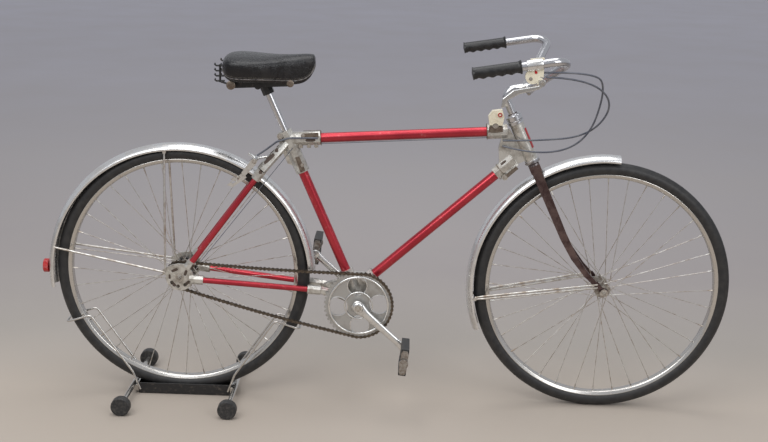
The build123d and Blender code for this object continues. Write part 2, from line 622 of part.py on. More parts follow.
# saddle: leather cover, side bars with clamp, and the coil springs behind
cover_plan = [
    (128.0, 60.0), (150.0, 98.0), (200.0, 102.0), (262.0, 66.0), (306.0, 36.0), (345.0, 28.0), (360.0, 14.0),
    (360.0, -14.0), (345.0, -28.0), (306.0, -36.0), (262.0, -66.0), (200.0, -102.0), (150.0, -98.0), (128.0, -60.0)]
cover_side = [
    (120.0, 905.0), (122.0, 962.0), (140.0, 978.0), (180.0, 980.0), (260.0, 972.0), (345.0, 972.0), (362.0, 962.0),
    (350.0, 914.0), (330.0, 908.0), (170.0, 905.0)]
cover_block = extrude(Polygon(*cover_plan, align=None), amount=1200, both=True)
saddle_cover = cover_block & plate(cover_side, 0, 240.0)
save(saddle_cover, "saddle_cover")
saddle_frame = plate([(138.0, 882.0), (138.0, 900.0), (306.0, 903.9), (306.0, 892.0)], -40.0, 6.0)
saddle_frame += mirrored(saddle_frame)
saddle_frame += cross_rod(Vector(147.0, 0, 894.7), -70.0, 70.0, 10.0)
saddle_frame += cross_rod(Vector(300.0, 0, 899.1), -44.0, 44.0, 8.0)
saddle_frame += cross_rod(Vector(214.0, 0, 890.0), -44.0, 44.0, 9.0)
saddle_frame += bar(bracket + seat_way * 628, bracket + seat_way * 652, 30.0)
saddle_frame -= rod(seat_post_low, seat_post_top, seat_post_radius + seat_fit)
save(saddle_frame, "saddle_frame")
hooks = []
for height in (902.0, 915.0, 928.0, 941.0):
    hooks.append(rod(Vector(102.0, -50.0, height - 4), Vector(127.2, -50.0, height), 3.0))
    hooks.append(rod(Vector(102.0, 50.0, height - 4), Vector(127.2, 50.0, height), 3.0))
hooks.append(rod(Vector(102.0, -50.0, 895.0), Vector(102.0, -50.0, 950.0), 4.0))
hooks.append(rod(Vector(102.0, 50.0, 895.0), Vector(102.0, 50.0, 950.0), 4.0))
save(joined(hooks), "saddle_springs")

# display stand: channel under the rear tyre, cross bars, rollers and wire arms
roller_x = 145.0
roller_y = 179.0
roller_radius = 26.0
channel_half = 30.0
channel_reach = 130.0
channel_profile = [
    (-channel_half, 2.0), (channel_half, 2.0), (channel_half, 33.0), (channel_half - 2, 33.0), (channel_half - 2, 3.5),
    (2 - channel_half, 3.5), (2 - channel_half, 33.0), (-channel_half, 33.0)]
channel = extrude(Plane.YZ * Polygon(*channel_profile, align=None), amount=channel_reach, both=True)
save(channel, "stand_channel")
cross_bars = []
rollers = []
for place in (-roller_x, roller_x):
    spot = Vector(place, 0, roller_radius)
    end = 1 if place > 0 else -1
    foot = [
        (end * (channel_reach + seat_gap), 8.0), (place, 8.0), (place, 26.0), (end * (channel_reach + seat_gap), 26.0)]
    cross_bars.append(cross_rod(spot, -roller_y + 12 + seat_gap, roller_y - 12 - seat_gap, 7.0) + plate(foot, 0, 2 * channel_half))
    for side in (-1, 1):
        rollers.append(cross_rod(spot, side * (roller_y - 12), side * (roller_y + 12), roller_radius))
save(joined(cross_bars), "stand_cross_bars")
save(joined(rollers), "stand_rollers")
arm_y = channel_half + 3.05
arm_rear = bent_tube(
    [Vector(-124.0, -arm_y, 14.0), Vector(-144.0, -arm_y, 66.0), Vector(-258.0, -arm_y, 232.0), Vector(-326.8, -arm_y, 209.9),
     Vector(-326.8, arm_y, 209.9), Vector(-258.0, arm_y, 232.0), Vector(-144.0, arm_y, 66.0), Vector(-124.0, arm_y, 14.0)],
    [12.0, 14.0, 14.0, 14.0, 14.0, 12.0], 3.0)
arm_front = mirror(arm_rear, about=Plane.YZ)
save(joined([arm_rear, arm_front]), "stand_wires")
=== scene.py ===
import json
import math

import bmesh
import bpy
from mathutils import Matrix, Vector

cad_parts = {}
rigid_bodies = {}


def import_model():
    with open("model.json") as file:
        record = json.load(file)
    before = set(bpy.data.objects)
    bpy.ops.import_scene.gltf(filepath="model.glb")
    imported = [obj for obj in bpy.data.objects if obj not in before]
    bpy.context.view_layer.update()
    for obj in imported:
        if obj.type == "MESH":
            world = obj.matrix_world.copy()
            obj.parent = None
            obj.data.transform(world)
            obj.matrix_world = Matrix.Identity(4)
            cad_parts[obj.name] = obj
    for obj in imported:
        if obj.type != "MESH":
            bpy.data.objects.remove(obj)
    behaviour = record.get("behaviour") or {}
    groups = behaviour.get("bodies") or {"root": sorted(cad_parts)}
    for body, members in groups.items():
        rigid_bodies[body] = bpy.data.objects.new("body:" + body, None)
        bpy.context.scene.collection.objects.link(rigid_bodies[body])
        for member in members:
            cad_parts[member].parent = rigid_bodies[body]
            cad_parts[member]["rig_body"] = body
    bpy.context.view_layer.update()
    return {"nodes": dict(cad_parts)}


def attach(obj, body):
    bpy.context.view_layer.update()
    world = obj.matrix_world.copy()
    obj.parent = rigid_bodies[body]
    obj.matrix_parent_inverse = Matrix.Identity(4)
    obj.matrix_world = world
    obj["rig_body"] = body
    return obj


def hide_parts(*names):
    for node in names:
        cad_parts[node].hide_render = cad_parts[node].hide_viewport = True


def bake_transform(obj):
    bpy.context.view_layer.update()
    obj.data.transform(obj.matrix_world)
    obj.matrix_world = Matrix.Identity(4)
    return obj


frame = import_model()

# The studio: a wide pale floor, painted warm under the wheels and a cool grey beyond them, soft lamps
# above, and a camera at standing height on the chain side, aimed down along the bicycle.
scene = bpy.context.scene
scene.view_settings.view_transform = "Standard"
camera = bpy.data.objects.new("camera", bpy.data.cameras.new("camera"))
scene.collection.objects.link(camera)
camera.data.lens = 55.36
camera.data.sensor_width = 36.0
camera.data.clip_end = 60.0
camera.location = (0.0555, -3.1302, 1.3653)
camera.rotation_euler = [math.radians(turn) for turn in (74.9032, -1.3904, 1.5011)]
scene.camera = camera


class Socket:
    """An output of a node; an expression on sockets adds its Math nodes."""

    def __init__(self, graph, output):
        self.graph, self.output = graph, output

    def combine(self, operation, first, second=0.0):
        return self.graph.node("ShaderNodeMath", {0: first, 1: second}, operation=operation)

    def __add__(self, other):
        return self.combine("ADD", self, other)

    def __radd__(self, other):
        return self.combine("ADD", other, self)

    def __sub__(self, other):
        return self.combine("SUBTRACT", self, other)

    def __rsub__(self, other):
        return self.combine("SUBTRACT", other, self)

    def __mul__(self, other):
        return self.combine("MULTIPLY", self, other)

    def __rmul__(self, other):
        return self.combine("MULTIPLY", other, self)

    def __truediv__(self, other):
        return self.combine("DIVIDE", self, other)

    def __mod__(self, other):
        return self.combine("MODULO", self, other)

    def __pow__(self, other):
        return self.combine("POWER", self, other)

    def floor(self):
        return self.combine("FLOOR", self)

    def sine(self):
        return self.combine("SINE", self)

    def cosine(self):
        return self.combine("COSINE", self)


class Graph:
    """A tree of nodes; node() adds one from its type, its settings, a ramp's stops and its inputs."""

    def feed(self, socket, value):
        if isinstance(value, Socket):
            self.tree.links.new(value.output, socket)
        elif isinstance(value, list):
            for entry in value:
                self.tree.links.new(entry.output, socket)
        elif isinstance(value, tuple) and socket.type == "RGBA" and len(value) == 3:
            socket.default_value = (*value, 1.0)
        else:
            socket.default_value = value

    def node(self, kind, inputs=None, output=0, stops=None, **settings):
        made = self.tree.nodes.new(kind)
        for setting, value in settings.items():
            setattr(made, setting, value)
        if stops:
            ramp = made.color_ramp
            while len(ramp.elements) < len(stops):
                ramp.elements.new(0.5)
            for element, (place, tone) in zip(ramp.elements, stops):
                element.position = place
                element.color = (*tone, 1.0)
        for key, value in (inputs or {}).items():
            self.feed(made.inputs[key], value)
        return Socket(self, made.outputs[output])

    def vector(self, first, second, third):
        return self.node("ShaderNodeCombineXYZ", {0: first, 1: second, 2: third})


class Finish(Graph):
    """A surface finish, whose patterns are drawn on the piece's own place in the bicycle."""

    def __init__(self, name):
        self.material = bpy.data.materials.new(name)
        self.material.use_nodes = True
        self.tree = self.material.node_tree
        self.shader = self.tree.nodes["Principled BSDF"]

    def place(self, stretch=(1, 1, 1)):
        here = self.node("ShaderNodeTexCoord", output="Object")
        if stretch == (1, 1, 1):
            return here
        return self.node("ShaderNodeMapping", {"Vector": here, "Scale": stretch})

    def coordinate(self, axis):
        return self.node("ShaderNodeSeparateXYZ", {0: self.place()}, output=axis)

    def noise(self, scale, detail=4.0, rough=0.55, stretch=(1, 1, 1)):
        return self.node("ShaderNodeTexNoise", {
            "Vector": self.place(stretch), "Scale": scale, "Detail": detail, "Roughness": rough})

    def spread(self, value, low, high):
        limits = {"Value": value, "From Min": low, "From Max": high}
        return self.node("ShaderNodeMapRange", limits, clamp=True)

    def ramp(self, value, *stops):
        return self.node("ShaderNodeValToRGB", {0: value}, stops=stops)

    def blend(self, share, first, second):
        return self.node("ShaderNodeMix", {0: share, 6: first, 7: second}, output=2, data_type="RGBA")

    def bump(self, height, depth, strength=1.0):
        return self.node("ShaderNodeBump", {"Height": height, "Distance": depth, "Strength": strength})

    def surface(self, **sockets):
        for name, value in sockets.items():
            self.feed(self.shader.inputs[name.replace("_", " ")], value)


def link_mesh(name, mesh):
    made = bpy.data.objects.new(name, mesh)
    scene.collection.objects.link(made)
    return made


def finished(name, work, finish, sharp=35):
    """The worked mesh as a piece, smooth except along edges sharper than the given turn."""
    bmesh.ops.recalc_face_normals(work, faces=work.faces)
    mesh = bpy.data.meshes.new(name)
    work.to_mesh(mesh)
    work.free()
    mesh.shade_smooth()
    mesh.set_sharp_from_angle(angle=math.radians(sharp))
    mesh.materials.append(finish.material)
    return link_mesh(name, mesh)


floor_paint = Finish("studio_floor")
floor_depth = floor_paint.coordinate("Y")
floor_tone = floor_paint.ramp(
    floor_paint.spread(floor_depth, 0.0, 12.0), (0.0, (0.42, 0.365, 0.310)), (0.04, (0.355, 0.325, 0.295)),
    (0.10, (0.345, 0.315, 0.310)), (0.25, (0.44, 0.415, 0.420)), (0.50, (0.53, 0.51, 0.545)),
    (1.0, (0.58, 0.565, 0.620)))
floor_cloud = floor_paint.spread(floor_paint.noise(1.6, 5.0), 0.3, 0.7)
floor_paint.surface(
    Base_Color=floor_paint.blend(floor_cloud * 0.2, floor_tone, (0.44, 0.40, 0.37)), Roughness=0.85)
floor_reach = 58.0
floor_work = bmesh.new()
bmesh.ops.create_circle(floor_work, cap_ends=True, segments=96, radius=floor_reach)
finished("studio_floor", floor_work, floor_paint, 60)
for lamp_name, lamp_spot, aim, size, power in (
        ("key_lamp", (-1.6, -2.6, 3.3), (0.0, 0.0, 0.5), 2.6, 78.0),
        ("fill_lamp", (2.4, -2.8, 2.4), (0.1, 0.0, 0.5), 2.0, 40.0),
        ("top_lamp", (0.0, 0.2, 3.6), (0.0, 0.0, 0.0), 2.6, 52.0)):
    lamp = bpy.data.objects.new(lamp_name, bpy.data.lights.new(lamp_name, "AREA"))
    lamp.data.size = size
    lamp.data.energy = power
    lamp.location = lamp_spot
    lamp.rotation_euler = (Vector(aim) - Vector(lamp_spot)).to_track_quat("-Z", "Y").to_euler()
    scene.collection.objects.link(lamp)
world = bpy.data.worlds.new("studio")
world.use_nodes = True
world.node_tree.nodes["Background"].inputs["Color"].default_value = (0.86, 0.88, 0.93, 1.0)
world.node_tree.nodes["Background"].inputs["Strength"].default_value = 0.55
scene.world = world

# The two control cables arch from the bar, forward round the head and back to the frame. Each is a
# steel wire in a grey-blue cover, held only at its ends.
cable_diameter = 0.005


def worn(name, grain, limits, fresh, aged, rough, metal=0.0):
    """A finish with one pattern of wear; rough and metal are numbers, or (change with wear, base)."""
    made = Finish(name)
    wear = made.spread(made.noise(*grain), *limits)
    made.surface(Base_Color=made.blend(wear, fresh, aged))
    for socket, value in (("Roughness", rough), ("Metallic", metal)):
        made.surface(**{socket: wear * value[0] + value[1] if isinstance(value, tuple) else value})
    return made


cable_routes = (
    ("brake_cable_loop", (
        (0.38425, -0.262, 0.965), (0.48925, -0.24, 0.962), (0.57425, -0.165, 0.89), (0.52425, -0.095, 0.79),
        (0.37925, -0.036, 0.763), (0.30725, -0.0102, 0.757))),
    ("gear_cable_loop", (
        (0.37755, -0.262, 0.976), (0.49925, -0.262, 0.982), (0.54725, -0.17, 0.93), (0.51925, -0.1, 0.775),
        (0.40425, -0.046, 0.724), (0.30725, -0.0102, 0.742))))
cable_cover = worn(
    "cable_cover", (40.0, 5.0), (0.35, 0.7), (0.070, 0.078, 0.105), (0.150, 0.155, 0.175), (0.15, 0.3))


def plain_mesh(holder):
    """What an object's curve or modifiers make, as one plain mesh."""
    bpy.context.view_layer.update()
    shown = holder.evaluated_get(bpy.context.evaluated_depsgraph_get())
    return bpy.data.meshes.new_from_object(shown)


for index, (cable_name, route) in enumerate(cable_routes):
    line = bpy.data.curves.new(cable_name + "_line", "CURVE")
    line.dimensions = "3D"
    line.resolution_u = 12
    spline = line.splines.new("NURBS")
    spline.points.add(len(route) - 1)
    for point, place in zip(spline.points, route):
        point.co = (*place, 1.0)
    spline.order_u = 3
    spline.use_endpoint_u = True
    carrier = link_mesh(cable_name + "_line", line)
    path = [vertex.co.copy() for vertex in plain_mesh(carrier).vertices]
    line.bevel_depth = cable_diameter / 2
    line.bevel_resolution = 4
    line.use_fill_caps = True
    loop = link_mesh(cable_name, plain_mesh(carrier))
    bpy.data.objects.remove(carrier)
    loop.data.materials.clear()
    loop.data.materials.append(cable_cover.material)
    loop.data.shade_smooth()
    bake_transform(loop)
    if index == 0:
        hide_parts("cable_loops")

# The frame tubes are drawn aluminium, octagonal with soft corners, dyed red and sealed. Handling has
# rubbed the dye paler in streaks along the tube. Both pairs of stays are of the same stock.
body_of = {node: piece["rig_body"] for node, piece in frame["nodes"].items()}
red_tube = Finish("red_anodised")
red_streaks = red_tube.noise(9.0, 5.0, 0.6)
red_rub = red_tube.spread(red_tube.noise(70.0, 6.0, 0.7), 0.58, 0.72)
red_rub = red_rub * red_tube.spread(red_streaks, 0.45, 0.62)
red_tone = red_tube.blend(red_tube.spread(red_streaks, 0.3, 0.7), (0.36, 0.018, 0.032), (0.50, 0.040, 0.055))
red_tube.surface(
    Base_Color=red_tube.blend(red_rub * 0.7, red_tone, (0.68, 0.38, 0.35)),
    Metallic=0.75,
    Roughness=red_tube.spread(red_streaks, 0.2, 0.8) * 0.10 + 0.25,
    Coat_Weight=0.3,
    Coat_Roughness=0.12)


def add_on(piece, body):
    """The piece moves with a body."""
    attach(piece, body)


def stand_for(piece, *nodes):
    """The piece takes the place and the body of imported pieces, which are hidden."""
    add_on(piece, body_of[nodes[0]])
    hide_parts(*nodes)


def eased(node, finish, width, steps=2, turn=28):
    """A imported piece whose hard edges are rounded, as drawing, casting or forging leaves them."""
    work = bmesh.new()
    work.from_mesh(frame["nodes"][node].data)
    bmesh.ops.remove_doubles(work, verts=work.verts, dist=0.00001)
    bmesh.ops.dissolve_limit(work, angle_limit=math.radians(1), verts=work.verts, edges=work.edges)
    holder = finished(node + "_rough", work, finish, 40)
    bevel = holder.modifiers.new("rounding", "BEVEL")
    bevel.width = width / 1000
    bevel.segments = steps
    bevel.limit_method = "ANGLE"
    bevel.angle_limit = math.radians(turn)
    bevel.harden_normals = True
    piece = link_mesh(node + "_finished", plain_mesh(holder))
    bpy.data.objects.remove(holder)
    stand_for(piece, node)
    return piece


for tube in ("seat_tube", "top_tube", "down_tube"):
    eased(tube, red_tube, 4.6, 4)
for tube in ("seat_stays", "chain_stays"):
    eased(tube, red_tube, 3.0, 4)

# The frame's joints are cast aluminium lugs that grip the tubes: one at the head, one at the seat, one
# round the bottom bracket, and a dropout at each end of the rear axle. They are fettled by hand.
rear_axle_ahead = 560.75
cast_alloy = Finish("cast_aluminium")
cast_grain = cast_alloy.noise(240.0, 3.0, 0.6)
cast_grime = cast_alloy.spread(cast_alloy.noise(34.0, 7.0, 0.7), 0.44, 0.66)
cast_ahead = cast_alloy.coordinate("X")
cast_up = cast_alloy.coordinate("Z")


def painted_recess_shade(ahead, up, long, wide, turn):
    """A mask of painted shade for a slot or hole in a casting, centred on a station in millimetres, long
    along its turn.
    """
    way = (math.cos(math.radians(turn)), math.sin(math.radians(turn)))
    from_ahead = cast_ahead - (ahead - rear_axle_ahead) / 1000
    from_up = cast_up - up / 1000
    along = (from_ahead * way[0] + from_up * way[1]) / (long / 1000)
    beside = (from_up * way[0] - from_ahead * way[1]) / (wide / 1000)
    return cast_alloy.spread(1.0 - (along ** 4.0 + beside ** 4.0), 0.0, 0.35)


# Slots and holes in the castings, each drawn as a dark patch of painted shade with a dip in the bump, in
# place of a modelled recess.
painted_recess_spots = (
    (243, 694, 19, 5.0, 43), (222, 660, 5, 5, 0), (262, 716, 5, 5, 0), (-13, 381, 10, 4, 24),
    (17, 374, 9, 4, 70),
    (22, 346, 12, 4, 42), (-17, 341, 9, 5, -48), (-27, 362, 3, 7, 0), (37, 392, 9, 4, 60),
    (872, 697, 9, 3, 42), (440, 312, 22, 6, -18), (470, 306, 7, 7, 0), (352, 744, 14, 4, 4))
cast_recess_shade = painted_recess_shade(*painted_recess_spots[0])
for place in painted_recess_spots[1:]:
    cast_recess_shade = cast_recess_shade + painted_recess_shade(*place)
cast_recess_shade = cast_alloy.spread(cast_recess_shade, 0.0, 1.0)
cast_tone = cast_alloy.blend(cast_grime, (0.64, 0.625, 0.585), (0.30, 0.27, 0.23))
# Where the recess mask stands, the colour is painted shade: near black-brown, less metallic and rougher, with
# the bump pressed in.
cast_alloy.surface(
    Base_Color=cast_alloy.blend(cast_recess_shade, cast_tone, (0.075, 0.052, 0.040)),
    Metallic=cast_recess_shade * -0.6 + 0.75,
    Roughness=cast_grime * 0.18 + cast_recess_shade * 0.3 + 0.30,
    Normal=cast_alloy.bump(cast_grain * 0.3 - cast_recess_shade * 2.0, 0.0012, 0.6))
for casting, rounding in (
        ("head_lug", 2.4), ("seat_lug", 2.0), ("bottom_bracket_lug", 2.0), ("dropouts", 1.2)):
    eased(casting, cast_alloy, rounding, 3)



def station(ahead, aside, up):
    """A place measured in millimetres from the rear axle, the middle plane and the floor."""
    return Vector((ahead - rear_axle_ahead, aside, up)) / 1000


def skin(work, rows, closed=True):
    """Faces between rows of points, with a face over each end when the rows make a closed tube."""
    made = [[work.verts.new(point) for point in row] for row in rows]
    for near, far in zip(made, made[1:]):
        last = len(near) if closed else len(near) - 1
        for index in range(last):
            after = (index + 1) % len(near)
            work.faces.new((near[index], near[after], far[after], far[index]))
    if closed:
        work.faces.new(made[0])
        work.faces.new(made[-1])


def tube(work, path, sizes, sides=14):
    """Round sections along a path of points, one radius for each point."""
    side = (path[1] - path[0]).orthogonal()
    rows = []
    for index, point in enumerate(path):
        ahead = (path[min(index + 1, len(path) - 1)] - path[max(index - 1, 0)]).normalized()
        side = (side - ahead * side.dot(ahead)).normalized()
        over = ahead.cross(side)
        turns = [2 * math.pi * step / sides for step in range(sides)]
        rows.append([
            point + (side * math.cos(turn) + over * math.sin(turn)) * sizes[index] for turn in turns])
    skin(work, rows)


def wire(work, run, side, sizes, sides):
    """A bent wire through (ahead, aside, up) places, on one side of the middle plane."""
    tube(work, [station(ahead, side * aside, up) for ahead, aside, up in run], sizes, sides)


def stepped(work, base, way, profile, sides):
    """A round piece along a line from a base, from (how far along, radius) steps in millimetres."""
    spots = [base + way * (along / 1000) for along, reach in profile]
    tube(work, spots, [reach / 1000 for along, reach in profile], sides)


def slab(work, outline, near, far, rim=0.0006):
    """A flat piece between two planes across the bicycle, its outline in stations, its edges broken."""
    corners = [station(ahead, 0, up) for ahead, up in outline]
    middle = sum(corners, Vector()) / len(corners)
    drawn = [corner + (middle - corner).normalized() * rim for corner in corners]
    step = rim * (1 if far > near else -1)
    depths = ((drawn, near), (corners, near + step), (corners, far - step), (drawn, far))
    skin(work, [[Vector((point.x, depth, point.z)) for point in row] for row, depth in depths])


head_way = Vector((-math.cos(math.radians(65.0)), 0, math.sin(math.radians(65.0))))
head_forward = Vector((head_way.z, 0, -head_way.x))
head_base = station(948.0, 0, 706.0)
bracket = station(491.0, 0, 289.0)

# Plates of browned steel, cut from strip, lie on both sides of the castings where a tube is clamped. They
# are flat with broken edges, and the bolts stand beside them.
clamp_steel = worn(
    "browned_steel", (85.0, 7.0, 0.7), (0.38, 0.66), (0.26, 0.22, 0.18), (0.075, 0.045, 0.03), (0.3, 0.3),
    (-0.4, 0.9))
plate_work = bmesh.new()
clamp_plates = (
    ((828.0, 779.5), (828.5, 794.5), (866.0, 797.0), (866.5, 782.5), (847.0, 779.0)),
    ((374.0, 752.0), (374.0, 765.5), (330.0, 762.5), (326.0, 756.0), (330.0, 749.0)),
    ((878.0, 664.0), (906.0, 690.0), (913.0, 683.0), (886.0, 657.5)),
    ((326.0, 655.0), (339.5, 660.5), (322.0, 700.0), (311.5, 696.0)))
for side in (-1, 1):
    for outline in clamp_plates:
        slab(plate_work, outline, side * 0.0188, side * 0.0204)
add_on(finished("clamp_plates", plate_work, clamp_steel), "frame")

# The wheels: tyres of black rubber with a ribbed tread, rolled steel rims, and hubs turned from steel
# bar, each with an axle held by nuts. Dust has turned the tread grey.
front_axle = station(1160.0, 0, 352.0)
rear_axle = station(0.0, 0, 361.0)


def round_way(turn):
    """The direction at a turn in radians, in the plane of the wheels."""
    return Vector((math.cos(turn), 0, math.sin(turn)))


def turned(work, stations, profile, ends=True):
    """A section of (rise, aside) points carried round a wheel, past (centre, reach, degrees) stations."""
    rows = []
    for centre, reach, degrees in stations:
        out = round_way(math.radians(degrees))
        rows.append([
            centre + out * ((reach + rise) / 1000) + Vector((0, aside / 1000, 0)) for rise, aside in profile])
    skin(work, rows)
    if not ends:
        caps = [face for face in work.faces if len(face.verts) > 4]
        bmesh.ops.delete(work, geom=caps, context="FACES_ONLY")
        bmesh.ops.remove_doubles(work, verts=work.verts, dist=0.000001)


def round_trip(centre, reach, steps):
    return [(centre, reach, 360.0 * step / steps) for step in range(steps + 1)]


tyre_rubber = worn(
    "tyre_rubber", (55.0, 6.0, 0.65), (0.4, 0.75), (0.013, 0.013, 0.014), (0.034, 0.032, 0.030), 0.5)
tread_half = 19.0
tyre_section = [(-14.5, -12.5)]
for step in range(29):
    turn = math.radians(-140 + 10 * step)
    groove = 0.9 if abs(turn) < 0.95 and step % 2 else 0.0
    reach = tread_half - groove
    tyre_section.append((reach * math.cos(turn), reach * math.sin(turn)))
tyre_section.append((-14.5, 12.5))
for wheel, centre in (("front", front_axle), ("rear", rear_axle)):
    tyre_work = bmesh.new()
    turned(tyre_work, round_trip(centre, 333.0, 144), tyre_section, False)
    tyre = finished(wheel + "_tyre_finished", tyre_work, tyre_rubber, 60)
    stand_for(tyre, wheel + "_tyre")

rim_steel = worn(
    "dull_plate", (90.0, 7.0, 0.7), (0.58, 0.78), (0.60, 0.58, 0.55), (0.24, 0.15, 0.10),
    (0.3, 0.20), (-0.4, 0.95))
rim_section = (
    (11.5, -13.6), (10.6, -14.4), (9.2, -14.2), (7.8, -13.0), (4.0, -12.2), (1.2, -10.0), (-0.4, -6.0),
    (0.4, -2.5),
    (0.4, 2.5), (-0.4, 6.0), (1.2, 10.0), (4.0, 12.2), (7.8, 13.0), (9.2, 14.2), (10.6, 14.4), (11.5, 13.6),
    (9.5, 12.0), (6.0, 8.0), (6.0, -8.0), (9.5, -12.0))
for wheel, centre in (("front", front_axle), ("rear", rear_axle)):
    rim_work = bmesh.new()
    turned(rim_work, round_trip(centre, 309.0, 120), rim_section, False)
    stand_for(finished(wheel + "_rim_finished", rim_work, rim_steel, 50), wheel + "_rim")

dull_steel = worn(
    "worn_steel", (120.0, 6.0, 0.7), (0.4, 0.7), (0.42, 0.40, 0.37), (0.16, 0.11, 0.08),
    (0.25, 0.30), 0.85)
for part in ("front_hub", "rear_hub", "front_axle", "rear_axle", "rear_sprocket", "crank_spindle"):
    eased(part, dull_steel, 0.5, 2)

# Each wheel has thirty-six plated wire spokes, laced tangent to the hub and crossed, each drawn up by a
# dark nipple at the rim. The heads sit by turns outside and inside the hub's flanges.


class Pattern(Graph):
    """A Geometry Nodes tree for pieces that repeat; its inputs are named here, set piece by piece."""

    def __init__(self, name, finish, **sizes):
        self.tree = bpy.data.node_groups.new(name, "GeometryNodeTree")
        self.finish, self.keys = finish, {}
        self.tree.interface.new_socket("Geometry", in_out="INPUT", socket_type="NodeSocketGeometry")
        for size, value in sizes.items():
            kind = "NodeSocketObject" if value is None else "NodeSocketFloat"
            socket = self.tree.interface.new_socket(size, in_out="INPUT", socket_type=kind)
            self.keys[size] = socket.identifier
            if value is not None:
                socket.default_value = value
        self.tree.interface.new_socket("Geometry", in_out="OUTPUT", socket_type="NodeSocketGeometry")
        self.source = self.tree.nodes.new("NodeGroupInput")

    def rod(self, sides, wide=1.0, deep=1.0):
        return self.node("GeometryNodeMeshCylinder", {"Vertices": sides, "Radius": wide, "Depth": deep})

    def aim(self, way):
        return self.node("FunctionNodeAlignRotationToVector", {"Vector": way}, axis="Z")

    def given(self):
        return Socket(self, self.source.outputs[0])

    def size(self, name):
        return Socket(self, self.source.outputs[name])

    def close(self, *shapes):
        joined = self.node("GeometryNodeJoinGeometry", {0: list(shapes)})
        real = self.node("GeometryNodeRealizeInstances", {0: joined})
        surfaced = self.node("GeometryNodeSetMaterial", {"Geometry": real, "Material": self.finish.material})
        sink = self.tree.nodes.new("NodeGroupOutput")
        self.tree.links.new(surfaced.output, sink.inputs[0])

    def grow(self, name, mesh, **sizes):
        holder = link_mesh(name + "_holder", mesh)
        maker = holder.modifiers.new("pattern", "NODES")
        maker.node_group = self.tree
        for size, value in sizes.items():
            maker[self.keys[size]] = value
        grown = plain_mesh(holder)
        bpy.data.objects.remove(holder)
        return link_mesh(name, grown)


spoke_steel = worn(
    "spoke_plate", (60.0, 5.0), (0.4, 0.7), (0.66, 0.65, 0.62), (0.34, 0.27, 0.21), (0.2, 0.28), 0.9)
spoke_count = 36
lacing = Pattern(
    "lacing", spoke_steel, hub_reach=0.018, rim_reach=0.3085, flange=0.031, lean=62.0, thickness=0.002,
    nipple=0.012)
spoke_index = lacing.node("GeometryNodeInputIndex")
spoke_side = spoke_index % 2.0 * 2.0 - 1.0
spoke_lean = (spoke_index / 2.0).floor() % 2.0 * 2.0 - 1.0
rim_angle = spoke_index * math.radians(360.0 / spoke_count)
hub_angle = rim_angle + spoke_lean * lacing.size("lean") * math.radians(1.0)
hub_end = lacing.vector(
    hub_angle.cosine() * lacing.size("hub_reach"), spoke_side * (lacing.size("flange") + spoke_lean * 0.0024),
    hub_angle.sine() * lacing.size("hub_reach"))
rim_end = lacing.vector(
    rim_angle.cosine() * lacing.size("rim_reach"), spoke_side * 0.0036,
    rim_angle.sine() * lacing.size("rim_reach"))
spoke_line = lacing.node("ShaderNodeVectorMath", {0: rim_end, 1: hub_end}, operation="SUBTRACT")
spoke_length = lacing.node("ShaderNodeVectorMath", {0: spoke_line}, operation="LENGTH", output=1)
spoke_middle = lacing.node("ShaderNodeMix", {0: 0.5, 4: hub_end, 5: rim_end}, output=1, data_type="VECTOR")
nipple_share = lacing.size("nipple") / spoke_length * -0.5 + 1.0
nipple_middle = lacing.node(
    "ShaderNodeMix", {0: nipple_share, 4: hub_end, 5: rim_end}, output=1, data_type="VECTOR")
spoke_turn = lacing.aim(spoke_line)
spoke_parts = []
for centre_of, wide, long, sides in (
        (spoke_middle, lacing.size("thickness") / 2.0, spoke_length, 6),
        (nipple_middle, lacing.size("thickness") * 0.95, lacing.size("nipple"), 8)):
    seats = lacing.node("GeometryNodeSetPosition", {
        "Geometry": lacing.given(), "Position": centre_of})
    rod = lacing.rod(sides)
    size = lacing.vector(wide, wide, long)
    spoke_parts.append(lacing.node("GeometryNodeInstanceOnPoints", {
        "Points": seats, "Instance": rod, "Rotation": spoke_turn, "Scale": size}))
lacing.close(*spoke_parts)
for wheel, centre, nipple in (("front", front_axle, 0.012), ("rear", rear_axle, 0.014)):
    seats = bpy.data.meshes.new(wheel + "_spoke_seats")
    seats.from_pydata([(0, 0, 0)] * spoke_count, [], [])
    spokes = lacing.grow(wheel + "_spokes_finished", seats, nipple=nipple)
    spokes.data.transform(Matrix.Translation(centre))
    stand_for(spokes, wheel + "_spokes")

# The mudguards are rolled from thin polished aluminium, with a ridge along the crown and the edges turned
# in over a wire. Small dents and dull stains have come with use. Wire stays hold them at the axles.
guard_alloy = Finish("rolled_aluminium")
guard_dents = guard_alloy.noise(14.0, 3.0, 0.5)
guard_stains = guard_alloy.spread(guard_alloy.noise(22.0, 7.0, 0.7), 0.48, 0.75)
guard_alloy.surface(
    Base_Color=guard_alloy.blend(guard_stains, (0.80, 0.80, 0.80), (0.56, 0.53, 0.49)),
    Metallic=0.95,
    Roughness=guard_stains * 0.2 + 0.27,
    Normal=guard_alloy.bump(guard_dents, 0.002, 0.25))
guard_outer, guard_inner = [], []
for step in range(29):
    aside = 27.0 * math.sin(math.pi / 2 * (step / 14 - 1))
    rise = 16.0 * (math.sqrt(max(0.0, 1 - (aside / 27.6) ** 2)) - 1)
    ridge = 0.7 * math.exp(-(aside / 3.4) ** 2)
    guard_outer.append((rise + ridge, aside))
    guard_inner.append((rise + ridge - 1.2, aside * 0.955))
guard_curl = [(-16.4, 27.4), (-17.6, 26.6), (-17.8, 25.0), (-16.6, 24.4)]
guard_section = guard_outer + guard_curl + guard_inner[::-1]
guard_section += [(rise, -aside) for rise, aside in reversed(guard_curl)]
nose_out = round_way(math.radians(97))
nose_centre = front_axle + nose_out * 0.073
front_stations = [(front_axle, 373.0, 201 - 104 * step / 64) for step in range(65)]
front_stations += [(nose_centre, 300.0, 97 - 14 * step / 10) for step in range(1, 11)]
rear_centre = station(-4.0, 0, 352.0)
